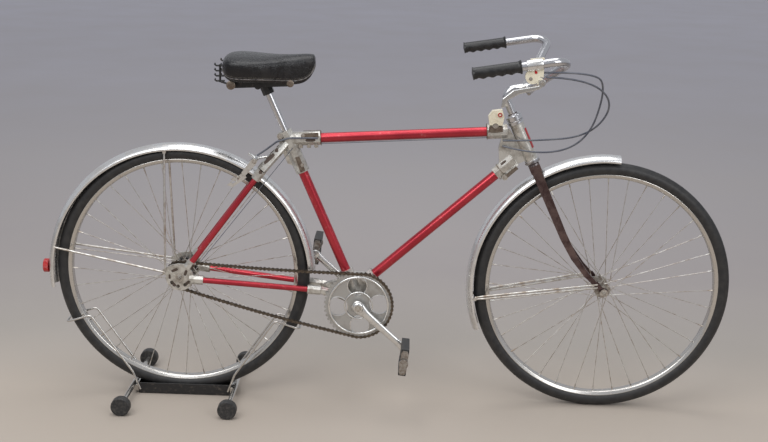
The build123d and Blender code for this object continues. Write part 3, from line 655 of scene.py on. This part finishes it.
rear_stations = [(rear_centre, 372.0, 4 + 183 * step / 110) for step in range(111)]
for wheel, stations in (("front", front_stations), ("rear", rear_stations)):
    guard_work = bmesh.new()
    turned(guard_work, stations, guard_section)
    stand_for(finished(wheel + "_mudguard_finished", guard_work, guard_alloy, 40), wheel + "_mudguard")
stay_runs = {
    "front": (((1142, 58.2, 375), (1100, 55.5, 368), (840, 32.5, 324), (812, 29.4, 318)),
              ((1142, 58.2, 366), (1100, 55.5, 360), (840, 32.5, 317), (812, 29.4, 313))),
    "rear": (((-38, 67.4, 375), (-60, 65.0, 379), (-330, 31.6, 422), (-353, 29.4, 426)),
             ((-38, 67.3, 381), (-38, 66.0, 400), (-41, 33.0, 670), (-41, 29.4, 702)))}
for wheel, runs in stay_runs.items():
    stay_work = bmesh.new()
    for side in (-1, 1):
        for run in runs:
            wire(stay_work, run, side, [0.0020, 0.0029, 0.0031, 0.0024], 12)
        end_ahead, end_aside, end_up = runs[1][-1]
        nut = ((end_ahead, end_aside - 3.5, end_up), (end_ahead, end_aside + 2.5, end_up))
        wire(stay_work, nut, side, [0.0048, 0.0048], 16)
    stays = wheel + "_mudguard_stays"
    stand_for(finished(stays + "_finished", stay_work, spoke_steel, 50), stays)

# The drive: an aluminium chainring with a raised rim and four holes, forged cranks, and a bushed roller
# chain whose oiled links alternate, inner plates between outer ones. They follow the chain's line a little
# closer together than its true pitch.
forged = worn(
    "forged_aluminium", (60.0, 6.0, 0.65), (0.52, 0.80), (0.74, 0.74, 0.73), (0.42, 0.39, 0.35),
    (0.2, 0.20), 0.95)
# The chainring's plate is a darker copy of the same aluminium as its raised beads: painted shade, set off
# against them. Its stains are real.
ring_shaded_alloy = Finish("chainring_aluminium_shaded")
ring_brushing = ring_shaded_alloy.noise(160.0, 4.0, 0.6)
ring_stain = ring_shaded_alloy.spread(ring_shaded_alloy.noise(30.0, 5.0, 0.6), 0.50, 0.85)
ring_shaded_alloy.surface(
    Base_Color=ring_shaded_alloy.blend(ring_stain, (0.46, 0.455, 0.44), (0.26, 0.24, 0.21)),
    Metallic=0.8,
    Roughness=ring_brushing * 0.14 + 0.34)
eased("chainring", ring_shaded_alloy, 0.5, 2)
crank_way = round_way(math.radians(-40.5))
crank_over = Vector((-crank_way.z, 0, crank_way.x))
for side, name, reach_sign in ((-1, "crank_right", 1), (1, "crank_left", -1)):
    crank_work = bmesh.new()
    rows = []
    for along, half, thick, aside in (
            (-19, 1, 1, 60), (-18, 9, 5, 60), (-14, 14, 6.6, 60), (-6, 17.2, 7.4, 60), (4, 17.6, 7.4, 60.2),
            (13, 15.5, 7.2, 60.8), (24, 12.6, 6.8, 62), (40, 11.2, 6.4, 63.4), (70, 10.2, 6.2, 65.5),
            (110, 9.4, 6.0, 68.6), (140, 9.2, 5.9, 71.2), (156, 10.0, 5.9, 72.6), (165, 11.6, 5.9, 73),
            (173, 11.2, 5.8, 73), (178, 8.4, 5.2, 73), (181, 4.4, 3.6, 73), (181.9, 1, 1, 73)):
        spot = bracket + crank_way * (reach_sign * along / 1000) + Vector((0, side * aside / 1000, 0))
        row = []
        for turn in range(24):
            angle = 2 * math.pi * turn / 24
            wide = math.copysign(abs(math.cos(angle)) ** 0.8, math.cos(angle)) * half / 1000
            deep = math.copysign(abs(math.sin(angle)) ** 0.7, math.sin(angle)) * thick / 1000
            row.append(spot + crank_over * wide + Vector((0, deep, 0)))
        rows.append(row)
    skin(crank_work, rows)
    boss = [
        (52.5, 12.5), (53, 14.5), (54, 15.6), (66, 15.6), (68.6, 14.4), (70, 11.5), (70.2, 8.6), (67.5, 8.0)]
    stepped(crank_work, bracket, Vector((0, side, 0)), boss, 32)
    eye_spot = bracket + crank_way * (reach_sign * 0.170)
    eye = [(66.2, 8.5), (66.6, 10.4), (79.2, 10.4), (79.8, 8.8)]
    stepped(crank_work, eye_spot, Vector((0, side, 0)), eye, 28)
    stepped(crank_work, eye_spot, Vector((0, side, 0)), ((78, 5.2), (90, 5.2)), 16)
    stand_for(finished(name + "_finished", crank_work, forged, 45), name)
# The raised beads round the rim and the holes take the brighter forged finish, though they are pressed from
# the ring itself: a painted highlight along them.
ring_work = bmesh.new()
for reach, half, rise in ((81.5, 3.2, 2.6), (38.0, 2.4, 1.6)):
    turns = [math.pi * step / 8 for step in range(9)]
    bead = [(half * math.cos(turn), -rise * math.sin(turn)) for turn in turns]
    turned(ring_work, round_trip(bracket + Vector((0, -0.0455, 0)), reach, 96), bead, False)
for hole in range(4):
    turn = math.radians(-40.5 + 45 + 90 * hole)
    hole_spot = bracket + round_way(turn) * 0.057 + Vector((0, -0.0433, 0))
    hole_rim = ((-1.5, 0.4), (-1.2, -1.0), (0.0, -1.4), (1.4, -0.9), (1.8, 0.4))
    turned(ring_work, round_trip(hole_spot, 27.0, 48), hole_rim, False)
add_on(finished("chainring_beads", ring_work, forged), "crank")

chain_steel = worn(
    "oiled_chain_steel", (150.0, 5.0, 0.6), (0.35, 0.7), (0.060, 0.048, 0.038), (0.20, 0.16, 0.12),
    0.36, 0.8)
ring_reach, sprocket_reach, chain_aside, link_count = 0.09305, 0.03858, -0.042, 122
span = bracket - rear_axle
reach_gap = (ring_reach - sprocket_reach) / span.length
chain_lean = math.atan2(span.z, span.x)
top_turn = chain_lean + math.acos(reach_gap)
low_turn = chain_lean - math.acos(reach_gap)


def wrap(centre, reach, first, last, steps):
    """Points of the chain's line round a toothed wheel."""
    return [centre + round_way(first + (last - first) * step / steps) * reach for step in range(steps + 1)]


def hang(start, end, sag):
    """Points of the chain's line between the wheels, with a little slack."""
    shares = [step / 24 for step in range(1, 24)]
    return [start.lerp(end, share) - Vector((0, 0, sag)) * math.sin(math.pi * share) for share in shares]


ring_wrap = wrap(bracket, ring_reach, top_turn, low_turn, 72)
sprocket_wrap = wrap(rear_axle, sprocket_reach, low_turn, top_turn - 2 * math.pi, 48)
chain_line = ring_wrap + hang(ring_wrap[-1], sprocket_wrap[0], 0.006)
chain_line += sprocket_wrap + hang(sprocket_wrap[-1], ring_wrap[0], 0.004)
chain_mesh = bpy.data.meshes.new("chain_line")
chain_mesh.from_pydata(
    [(point.x, chain_aside, point.z) for point in chain_line],
    [(index, (index + 1) % len(chain_line)) for index in range(len(chain_line))], [])


def chain_link(name, half, plate, bush):
    """One link along X: two waisted plates and the two bushes or pins between them."""
    work = bmesh.new()
    outline = []
    for end in (1, -1):
        for turn in (-80, -40, 0, 40, 80):
            angle = math.radians(turn)
            outline.append((end * (0.00635 + 0.0041 * math.cos(angle)), end * 0.0045 * math.sin(angle)))
        outline.append((0.0, end * 0.0021))
    for side in (-1, 1):
        skin(work, [[Vector((x, side * depth, z)) for x, z in outline] for depth in (half, half + plate)])
    for end in (-1, 1):
        middle = Vector((end * 0.00635, 0, 0))
        reach = Vector((0, half + (plate * 1.7 if bush < 0.0025 else 0), 0))
        tube(work, [middle - reach, middle + reach], [bush, bush], 8)
    return finished(name, work, chain_steel)


chain_pattern = Pattern("chain_links", chain_steel, count=122.0, inner_link=None, outer_link=None)
links = chain_pattern.node("GeometryNodeMeshToCurve", {0: chain_pattern.given()})
pitch_points = chain_pattern.tree.nodes.new("GeometryNodeCurveToPoints")
chain_pattern.tree.links.new(links.output, pitch_points.inputs[0])
chain_pattern.tree.links.new(chain_pattern.size("count").output, pitch_points.inputs["Count"])
link_turn = chain_pattern.node("FunctionNodeAlignRotationToVector", {
    "Vector": Socket(chain_pattern, pitch_points.outputs["Tangent"])}, axis="X", pivot_axis="Y")
link_index = chain_pattern.node("GeometryNodeInputIndex")
link_sets = []
for source, chosen in (("inner_link", link_index % 2.0), ("outer_link", 1.0 - link_index % 2.0)):
    shape = chain_pattern.node("GeometryNodeObjectInfo", {0: chain_pattern.size(source)}, output="Geometry")
    link_sets.append(chain_pattern.node("GeometryNodeInstanceOnPoints", {
        "Points": Socket(chain_pattern, pitch_points.outputs[0]), "Instance": shape, "Selection": chosen,
        "Rotation": link_turn}))
chain_pattern.close(*link_sets)
inner_link = chain_link("inner_link", 0.0018, 0.0010, 0.0033)
outer_link = chain_link("outer_link", 0.0030, 0.0010, 0.0017)
chain = chain_pattern.grow(
    "chain_finished", chain_mesh, count=float(link_count), inner_link=inner_link, outer_link=outer_link)
for shape in (inner_link, outer_link):
    bpy.data.objects.remove(shape)
stand_for(chain, "chain")

# The pedals: steel cages that turn on the cranks, with two blocks of black rubber each, held between the
# end plates. Scuffs have greyed the rubber.
pedal_rubber = worn(
    "pedal_rubber", (120.0, 5.0, 0.65), (0.45, 0.7), (0.016, 0.016, 0.017), (0.075, 0.070, 0.064),
    (0.2, 0.5))
for side in ("right", "left"):
    eased(f"pedal_{side}_frame", dull_steel, 0.5, 2)
    eased(f"pedal_{side}_rubbers", pedal_rubber, 1.8, 3)

# The saddle: thick black leather stretched over a pressed frame, its edge folded under and stitched. It
# is crowned, dipped behind the nose and creased by use.
leather = Finish("saddle_leather")
leather_pores = leather.noise(380.0, 3.0, 0.6)
leather_creases = leather.noise(30.0, 6.0, 0.7, (1.0, 2.2, 1.0))
leather.surface(
    Base_Color=leather.blend(
        leather.spread(leather_creases, 0.45, 0.75), (0.0035, 0.0035, 0.005), (0.012, 0.010, 0.010)),
    Roughness=leather.spread(leather_creases, 0.3, 0.7) * 0.22 + 0.16,
    Normal=leather.bump(leather_pores + leather_creases * 3.0, 0.0012, 0.6))
# ahead, half width, top, widest, lower edge
saddle_plan = (
    (121.5, 44, 955, 944, 934), (126, 68, 964, 947, 925), (135, 88, 969, 949, 915), (150, 98, 971, 949, 908),
    (172, 102, 972, 949, 906), (200, 101, 971, 947, 906), (230, 90, 970, 945, 905), (262, 70, 970, 944, 902),
    (290, 50, 971, 944, 898), (315, 40, 972, 945, 897), (335, 34, 973, 947, 902), (350, 29, 973, 949, 914),
    (358, 24, 971, 950, 928), (361.5, 15, 964, 952, 942))


def plan_at(share):
    """The saddle's section sizes at a share of its length, smooth between the listed ones."""
    place = share * (len(saddle_plan) - 1)
    index = min(int(place), len(saddle_plan) - 2)
    rows = [saddle_plan[min(max(index + step, 0), len(saddle_plan) - 1)] for step in (-1, 0, 1, 2)]
    along = place - index
    return [0.5 * (2 * b + (c - a) * along + (2 * a - 5 * b + 4 * c - d) * along ** 2
                   + (3 * b - a - 3 * c + d) * along ** 3) for a, b, c, d in zip(*rows)]


saddle_rows, saddle_edges = [], ([], [])
for step in range(97):
    share = step / 96
    ahead, half, top, widest, low = plan_at(share)
    row = []
    dip = 1.2 * math.sin(math.pi * min(1.0, max(0.0, (share - 0.25) / 0.5))) if 0.25 < share < 0.75 else 0.0
    for turn in range(25):
        angle = math.pi * turn / 24
        rise = math.sin(angle) ** 0.72
        across_here = -half * math.copysign(abs(math.cos(angle)) ** 0.92, math.cos(angle))
        crease = 0.5 * math.sin(ahead * 0.55) * math.exp(-((abs(across_here) - half * 0.93) / 6.0) ** 2)
        crease += 1.5 * math.sin(ahead * 0.36 + 1.2) * math.exp(-((ahead - 268.0) / 20.0) ** 2) * (1 - rise)
        aside = across_here + math.copysign(crease, across_here)
        row.append(station(ahead, aside, widest + (top - dip - widest) * rise))
    fold = 1.9 * math.sin(ahead * 0.36 + 1.2) * math.exp(-((ahead - 268.0) / 20.0) ** 2)
    skirt = [(half * inward + fold, widest + (low - widest) * part)
             for part, inward in ((0.35, 0.995), (0.7, 0.97), (0.92, 0.93))]
    skirt += [
        (half * 0.90, low), (half * 0.82, low + 1.5), (half * 0.80, widest - 2), (half * 0.5, top - dip - 9)]
    row += [station(ahead, aside, up) for aside, up in skirt]
    row.append(station(ahead, 0, top - dip - 7))
    row += [station(ahead, -aside, up) for aside, up in reversed(skirt)]
    saddle_rows.append(row)
    for side, edge in zip((-1, 1), saddle_edges):
        edge.append(station(ahead, side * (half * 0.955 + 0.6), low + (widest - low) * 0.20))
saddle_work = bmesh.new()
skin(saddle_work, saddle_rows)
saddle = finished("saddle_cover_finished", saddle_work, leather, 70)
stand_for(saddle, "saddle_cover")

# A piped edge of rolled hide runs round the saddle's skirt, sewn on from outside. Its waxed stitches
# stand in a row above it.
thread = worn(
    "waxed_thread", (200.0, 4.0), (0.4, 0.7), (0.10, 0.09, 0.08), (0.22, 0.19, 0.15), 0.6)
welt_path = saddle_edges[0] + saddle_edges[1][::-1]
welt_work = bmesh.new()
tube(welt_work, welt_path, [0.0013] * len(welt_path), 8)
tube(welt_work, [saddle_edges[0][0], saddle_edges[1][0]], [0.0013, 0.0013], 8)
welt_hide = worn(
    "welt_leather", (120.0, 5.0), (0.35, 0.65), (0.03, 0.028, 0.03), (0.20, 0.18, 0.17), 0.35)
welt = finished("saddle_welt", welt_work, welt_hide)
add_on(welt, "frame")
stitching = Pattern("stitching", thread, spacing=0.0042, length=0.0030, thickness=0.0009)
stitch_points = stitching.tree.nodes.new("GeometryNodeCurveToPoints")
stitch_points.mode = "LENGTH"
stitch_line = stitching.node("GeometryNodeMeshToCurve", {0: stitching.given()})
stitching.feed(stitch_points.inputs[0], stitch_line)
stitching.feed(stitch_points.inputs["Length"], stitching.size("spacing"))
stitch_turn = stitching.aim(Socket(stitching, stitch_points.outputs["Tangent"]))
stitch_size = stitching.vector(
    stitching.size("thickness") / 2.0, stitching.size("thickness") / 2.0, stitching.size("length"))
stitch_bar = stitching.rod(6)
stitching.close(stitching.node("GeometryNodeInstanceOnPoints", {
    "Points": Socket(stitching, stitch_points.outputs[0]), "Instance": stitch_bar, "Rotation": stitch_turn,
    "Scale": stitch_size}))
stitch_mesh = bpy.data.meshes.new("stitch_lines")
stitch_spots, stitch_runs = [], []
for side, edge in zip((-1, 1), saddle_edges):
    first = len(stitch_spots)
    stitch_spots += [spot + Vector((0, side * 0.0008, 0.0045)) for spot in edge[6:-4]]
    stitch_runs += [(index, index + 1) for index in range(first, len(stitch_spots) - 1)]
stitch_mesh.from_pydata(stitch_spots, stitch_runs, [])
stitches = stitching.grow("saddle_stitches", stitch_mesh)
add_on(stitches, "frame")

# Under the saddle: a pressed frame on the clamp of the seat post, painted black. Close coils of wire lie
# round its cross rods, which nearly hide them, with bent hooks behind and cups over the rods' ends.
black_enamel = worn(
    "black_enamel", (90.0, 6.0, 0.7), (0.55, 0.72), (0.014, 0.014, 0.015), (0.11, 0.09, 0.075),
    (0.3, 0.34))
eased("saddle_frame", black_enamel, 1.0, 2)


def coil(work, start, end, reach, wire, pitch):
    """A close coil of round wire between two places."""
    way = end - start
    along = way.normalized()
    side = along.orthogonal().normalized()
    over = along.cross(side)
    turns = way.length / pitch
    steps = int(turns * 12)
    path = []
    for step in range(steps + 1):
        turn = 2 * math.pi * turns * step / steps
        path.append(start + way * (step / steps) + (side * math.cos(turn) + over * math.sin(turn)) * reach)
    tube(work, path, [wire] * len(path), 6)


spring_work = bmesh.new()
cross_coils = ((147.0, 894.7, 8.2, 70.0), (300.0, 899.1, 6.6, 44.0), (214.0, 890.0, 7.4, 44.0))
for ahead, up, reach, half in cross_coils:
    coil(spring_work, station(ahead, -half, up), station(ahead, half, up), reach / 1000, 0.0014, 0.0046)
for side in (-1, 1):
    for lift in (0, 1, 2, 3):
        hook = ((128, 50, 903 + 13 * lift), (106, 50, 902 + 13.5 * lift), (102.5, 50, 905 + 13.5 * lift),
                (103.5, 50, 909 + 13.5 * lift))
        wire(spring_work, hook, side, [0.0024, 0.0024, 0.0024, 0.0016], 8)
    wire(spring_work, ((147, 70, 895), (132, 60, 898), (116, 51, 901)), side, [0.0026] * 3, 8)
    wire(spring_work, ((116, 50, 899), (116, 50, 946)), side, [0.0028] * 2, 8)
    wire(spring_work, ((300, 44, 899), (322, 36, 908), (340, 24, 926), (350, 14, 944)), side, [0.0022] * 4, 8)
stand_for(finished("saddle_springs_finished", spring_work, black_enamel, 50), "saddle_springs")

cup_work = bmesh.new()
for side in (-1, 1):
    for ahead, up, aside, reach in ((147.0, 894.7, 70.0, 12.0), (300.0, 899.1, 44.0, 9.5)):
        cup = ((-3.0, 0.9), (-2.0, 1.0), (1.4, 1.0), (2.4, 0.8), (2.6, 0.4))
        tube(cup_work, [station(ahead, side * (aside + depth), up) for depth, share in cup],
             [reach * share / 1000 for depth, share in cup], 24)
add_on(finished("spring_cups", cup_work, clamp_steel), "frame")

# Plated parts: seat post, headset, stem and bar, drawn or turned from steel and then chromed. Rust has
# come through in fine pits.
chrome = Finish("chrome_plate")
chrome_pits = chrome.spread(chrome.noise(420.0, 4.0, 0.7), 0.66, 0.74)
chrome.surface(
    Base_Color=chrome.blend(chrome_pits * 0.8, (0.58, 0.58, 0.60), (0.20, 0.12, 0.07)),
    Metallic=chrome_pits * -0.5 + 1.0,
    Roughness=chrome.spread(chrome.noise(24.0, 5.0, 0.6), 0.35, 0.7) * 0.12 + 0.13 + chrome_pits * 0.3)
for part in ("headset_cups", "headset_nut", "stem", "handlebar", "seat_post"):
    eased(part, chrome, 0.8, 2)

# The headset's locknut is knurled so that it can be turned by hand; a plain ring clamps it above, and a
# cap with its bolt closes the stem.
knurling = Pattern("knurling", clamp_steel, count=40.0, reach=0.0205, high=0.009)
tooth_index = knurling.node("GeometryNodeInputIndex")
tooth_turn = tooth_index * (2 * math.pi) / knurling.size("count")
tooth_seats = knurling.node("GeometryNodeSetPosition", {
    "Geometry": knurling.given(),
    "Position": knurling.vector(
        tooth_turn.cosine() * knurling.size("reach"), tooth_turn.sine() * knurling.size("reach"), 0.0)})
tooth_size = knurling.vector(0.0011, 0.0011, knurling.size("high"))
tooth_rod = knurling.rod(6)
knurling.close(knurling.node("GeometryNodeInstanceOnPoints", {
    "Points": tooth_seats, "Instance": tooth_rod, "Scale": tooth_size}))
head_top = head_base + head_way * 0.107
head_turn = Vector((0, 0, 1)).rotation_difference(head_way).to_matrix().to_4x4()
for name, lift, reach, high, count in (
        ("locknut_knurl", 0.0125, 0.0198, 0.008, 44), ("lower_race_knurl", -0.1135, 0.0193, 0.005, 44)):
    seats = bpy.data.meshes.new(name + "_seats")
    seats.from_pydata([(0, 0, 0)] * count, [], [])
    knurl = knurling.grow(name, seats, count=float(count), reach=reach, high=high)
    knurl.data.transform(Matrix.Translation(head_top + head_way * lift) @ head_turn)
    add_on(knurl, "steering")
ring_work = bmesh.new()
for lift, sizes in (
        (0.004, ((0.0, 20.5), (3.5, 22.0), (5.0, 22.0), (6.5, 20.0))),
        (0.0175, ((0.0, 20.0), (1.0, 21.6), (5.5, 21.6), (6.5, 20.2), (9.0, 15.5)))):
    stepped(ring_work, head_top + head_way * lift, head_way, sizes, 40)
add_on(finished("headset_rings", ring_work, chrome), "steering")

# The fork is joined from a steel steerer, a crown and two bent blades. Its plating has gone almost wholly
# brown-black.
tarnished = worn(
    "tarnished_plate", (30.0, 8.0, 0.7), (0.40, 0.62), (0.17, 0.12, 0.115), (0.050, 0.026, 0.025),
    (0.14, 0.18), (-0.35, 0.9))
eased("fork", tarnished, 2.5, 3)

# The rear brake, the brake lever and its bracket are forged in aluminium and polished. The lever's
# bracket is a round pin on the bar.
eased("rear_brake", forged, 1.2, 2)
eased("brake_lever", forged, 2.2, 3)
lever_work = bmesh.new()
for inside, outside, reach in ((268.0, 280.0, 8.5), (266.5, 281.5, 4.0)):
    wire(lever_work, ((934.0, inside, 952.0), (934.0, outside, 952.0)), -1, [reach / 1000] * 2, 24)
add_on(finished("lever_bracket", lever_work, forged), "steering")

# The shifter is a cream plastic drum with a red index dot, and the cable guide a cream block at the head.
# The reflector behind is a moulded red lens with crossed ribs.
cream_plastic = worn(
    "cream_plastic", (45.0, 5.0), (0.4, 0.75), (0.72, 0.67, 0.53), (0.58, 0.51, 0.38), 0.36)
eased("guide_block", cream_plastic, 2.5, 3)
eased("gear_shifter", cream_plastic, 2.0, 3)
red_lens = Finish("red_lens")
lens_ribs = red_lens.coordinate("Z")
lens_cells = (lens_ribs * 2100.0).sine() * (red_lens.coordinate("Y") * 2100.0).sine()
red_lens.surface(
    Base_Color=red_lens.blend(lens_cells * 0.5 + 0.5, (0.34, 0.010, 0.012), (0.55, 0.022, 0.020)),
    Roughness=0.14,
    Normal=red_lens.bump(lens_cells, 0.0006, 0.7))
eased("rear_reflector", red_lens, 0.8, 2)
dot_work = bmesh.new()
tube(dot_work, [station(919, -267.0, 977), station(919, -269.4, 977)], [0.0034, 0.0034], 16)
add_on(finished("index_dot", dot_work, red_lens), "steering")

# The grips are black rubber pushed over the bar ends: finger waves underneath, and a flared collar at
# each end.
grip_rubber = worn(
    "grip_rubber", (60.0, 5.0), (0.4, 0.75), (0.008, 0.008, 0.009), (0.022, 0.021, 0.021), (0.2, 0.32))
grip_work = bmesh.new()
for side in (-1, 1):
    bar_end = station(768.0, side * 265.0, 969.5)
    bar_front = station(1012.0, side * 262.0, 1010.0)
    grip_way = (bar_front - bar_end).normalized()
    grip_side = Vector((0, 1, 0))
    grip_up = grip_way.cross(grip_side)
    rows = []
    for step in range(61):
        along = -4.0 + 122.0 * step / 60
        flare = 2.6 * math.exp(-((along + 2.5) / 2.6) ** 2) + 3.0 * math.exp(-((along - 116.0) / 3.0) ** 2)
        closing = math.sqrt(max(0.0, 1 - max(0.0, (-along - 1.0) / 3.0) ** 2)) if along < -1.0 else 1.0
        row = []
        for turn in range(20):
            angle = 2 * math.pi * turn / 20
            under = max(0.0, -math.sin(angle))
            wave = 1.7 * math.cos(2 * math.pi * along / 23.0) * under if 8 < along < 108 else 0.0
            reach = (14.6 + flare + wave) * max(0.12, closing)
            row.append(bar_end + grip_way * (along / 1000)
                       + (grip_side * math.cos(angle) + grip_up * math.sin(angle)) * (reach / 1000))
        rows.append(row)
    skin(grip_work, rows)
stand_for(finished("grips_finished", grip_work, grip_rubber, 50), "grips")

# The display stand: an enamelled channel under the rear tyre, plated cross bars with rubber rollers, and
# two bent wires that hold the wheel.
eased("stand_channel", black_enamel, 1.0, 2)
eased("stand_cross_bars", rim_steel, 0.6, 2)
eased("stand_wires", rim_steel, 0.6, 2)
eased("stand_rollers", pedal_rubber, 3.0, 3)

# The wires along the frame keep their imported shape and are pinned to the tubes. Their covers are those of
# the free loops.
frame["nodes"]["frame_cables"].data.materials.clear()
frame["nodes"]["frame_cables"].data.materials.append(cable_cover.material)

# Bolts and nuts draw the clamps together: hexagon heads on washers, plated, with rust at their edges.
bolt_plate = worn(
    "bolt_plate", (300.0, 5.0, 0.7), (0.45, 0.7), (0.60, 0.58, 0.54), (0.20, 0.12, 0.07),
    (0.3, 0.26), 0.85)
fasteners = Pattern("fasteners", bolt_plate, head=0.6, washer=1.35)
facing = fasteners.node("GeometryNodeInputNamedAttribute", {"Name": "facing"}, data_type="FLOAT_VECTOR")
bolt_size = fasteners.node("GeometryNodeInputNamedAttribute", {"Name": "size"}, data_type="FLOAT")
bolt_turn = fasteners.aim(facing)
bolt_shapes = []
bolt_layers = ((6, 1.0, fasteners.size("head") * 2.0), (20, fasteners.size("washer"), 0.5), (12, 0.5, 1.9))
for sides, wide, deep in bolt_layers:
    shape = fasteners.rod(sides, wide, deep)
    bolt_shapes.append(fasteners.node("GeometryNodeInstanceOnPoints", {
        "Points": fasteners.given(), "Instance": shape, "Rotation": bolt_turn,
        "Scale": fasteners.vector(bolt_size, bolt_size, bolt_size)}))
fasteners.close(*bolt_shapes)
near, far, below = (0, -1, 0), (0, 1, 0), (0, 0, -1)
bolt_places = {
    "frame": (
        ((845.5, -19.5, 797), near, 4.6), ((878, -19.5, 658), near, 4.8), ((270, -17.6, 752), near, 5.0),
        ((845.5, 19.5, 797), far, 4.6), ((878, 19.5, 658), far, 4.8), ((270, 17.6, 752), far, 5.0),
        ((333, -20.6, 757), near, 3.6), ((367, -12, 728), near, 4.0), ((347, -12, 727), near, 4.0),
        ((325, -12, 726), near, 4.0), ((331, -20.8, 676), near, 3.6), ((217, -47, 652), near, 4.4),
        ((0, -64.5, 361), near, 9.0), ((0, 64.5, 361), far, 9.0), ((30, -64.3, 352), near, 3.4),
        ((384, -33.4, 325), near, 4.2), ((396, -33.4, 316), near, 3.4), ((203, -36.5, 686), near, 5.4)),
    "steering": (
        ((1160, -60.5, 352), near, 8.0), ((1160, 60.5, 352), far, 8.0), ((930, -17, 886), below, 4.4),
        ((934, -281, 952), near, 3.4), ((907, -268.6, 961), near, 3.2), ((929, -269, 956), near, 2.4)),
    "crank": (((491, -69.0, 289), near, 7.2), ((491, 69.0, 289), far, 7.2))}
for body, places in bolt_places.items():
    seats = bpy.data.meshes.new(body + "_bolt_seats")
    seats.from_pydata([station(*spot) for spot, toward, size in places], [], [])
    seats.attributes.new("facing", "FLOAT_VECTOR", "POINT").data.foreach_set(
        "vector", [value for spot, toward, size in places for value in toward])
    seats.attributes.new("size", "FLOAT", "POINT").data.foreach_set(
        "value", [size / 1000 for spot, toward, size in places])
    bolts = fasteners.grow(body + "_bolts", seats)
    add_on(bolts, body)

# On the far side the rear hub carries a black drum; brown steel bands stand out on the castings where
# the clamps close, and a bare enamelled strip covers the front of the head tube.
drum_work = bmesh.new()
drum = [(32.8, 20), (33.6, 27), (36, 28.5), (44, 28.5), (46, 27), (46.8, 14)]
stepped(drum_work, rear_axle, Vector((0, 1, 0)), drum, 40)
add_on(finished("hub_drum", drum_work, black_enamel, 40), "rear_wheel")
strip_work = bmesh.new()
strip_inside = 0.0178
rows = []
for lift, reach in ((30.0, 18.9), (31.0, 19.3), (87.0, 19.3), (88.0, 18.9)):
    outer, inner = [], []
    for step in range(13):
        turn = math.radians(-42 + 7 * step)
        way = head_forward * math.cos(turn) + Vector((0, 1, 0)) * math.sin(turn)
        outer.append(head_base + head_way * (lift / 1000) + way * (reach / 1000))
        inner.append(head_base + head_way * (lift / 1000) + way * strip_inside)
    rows.append(outer + inner[::-1])
skin(strip_work, rows)
strip_enamel = worn(
    "head_strip_enamel", (160.0, 6.0, 0.7), (0.60, 0.70), (0.36, 0.018, 0.022), (0.05, 0.035, 0.03), 0.3)
ring_seat = station(856, -29.2, 829)
ring_rim = ((-1.6, 0.3), (-1.2, -1.2), (1.2, -1.2), (1.6, 0.3))
turned(strip_work, round_trip(ring_seat, 4.6, 28), ring_rim, False)
add_on(finished("head_strip", strip_work, strip_enamel), "frame")
band_work = bmesh.new()
down_way = Vector((0.7403, 0, 0.6722))
top_way = Vector((0.99778, 0, 0.06667))
for spot, way, reach in (
        (station(868, 0, 674), down_way, 22.5), (station(825, 0, 778.4), top_way, 22.5),
        (station(379, 0, 748.6), top_way, 21.5)):
    tube(band_work, [spot - way * 0.0012, spot - way * 0.0004, spot + way * 0.0008],
         [reach / 1000 * 0.96, reach / 1000, reach / 1000 * 0.97], 8)
add_on(finished("clamp_mouths", band_work, clamp_steel), "frame")

# A clamp band holds the brake lever's body on the bar, and a turned barrel at the stem sets the cable. Both
# are of the same aluminium as the lever.
bar_way = (station(1012, -262, 1010) - station(768, -265, 969.5)).normalized()
perch_ahead = 0.150
perch_spot = station(768, -265, 969.5) + bar_way * perch_ahead
perch_work = bmesh.new()
perch = [(-20, 12.4), (-19, 14.6), (-2, 15.2), (16, 15.0), (19, 14.2), (20, 12.2)]
stepped(perch_work, perch_spot, bar_way, perch, 28)
barrel = [(-1, 3.5), (0, 5.4), (6, 6.2), (30, 6.2), (34, 4.4), (42, 3.4)]
barrel_way = (station(944, -30, 913) - station(903, -30, 902)).normalized()
stepped(perch_work, station(903, -30, 902), barrel_way, barrel, 20)
add_on(finished("lever_perch", perch_work, forged, 40), "steering")
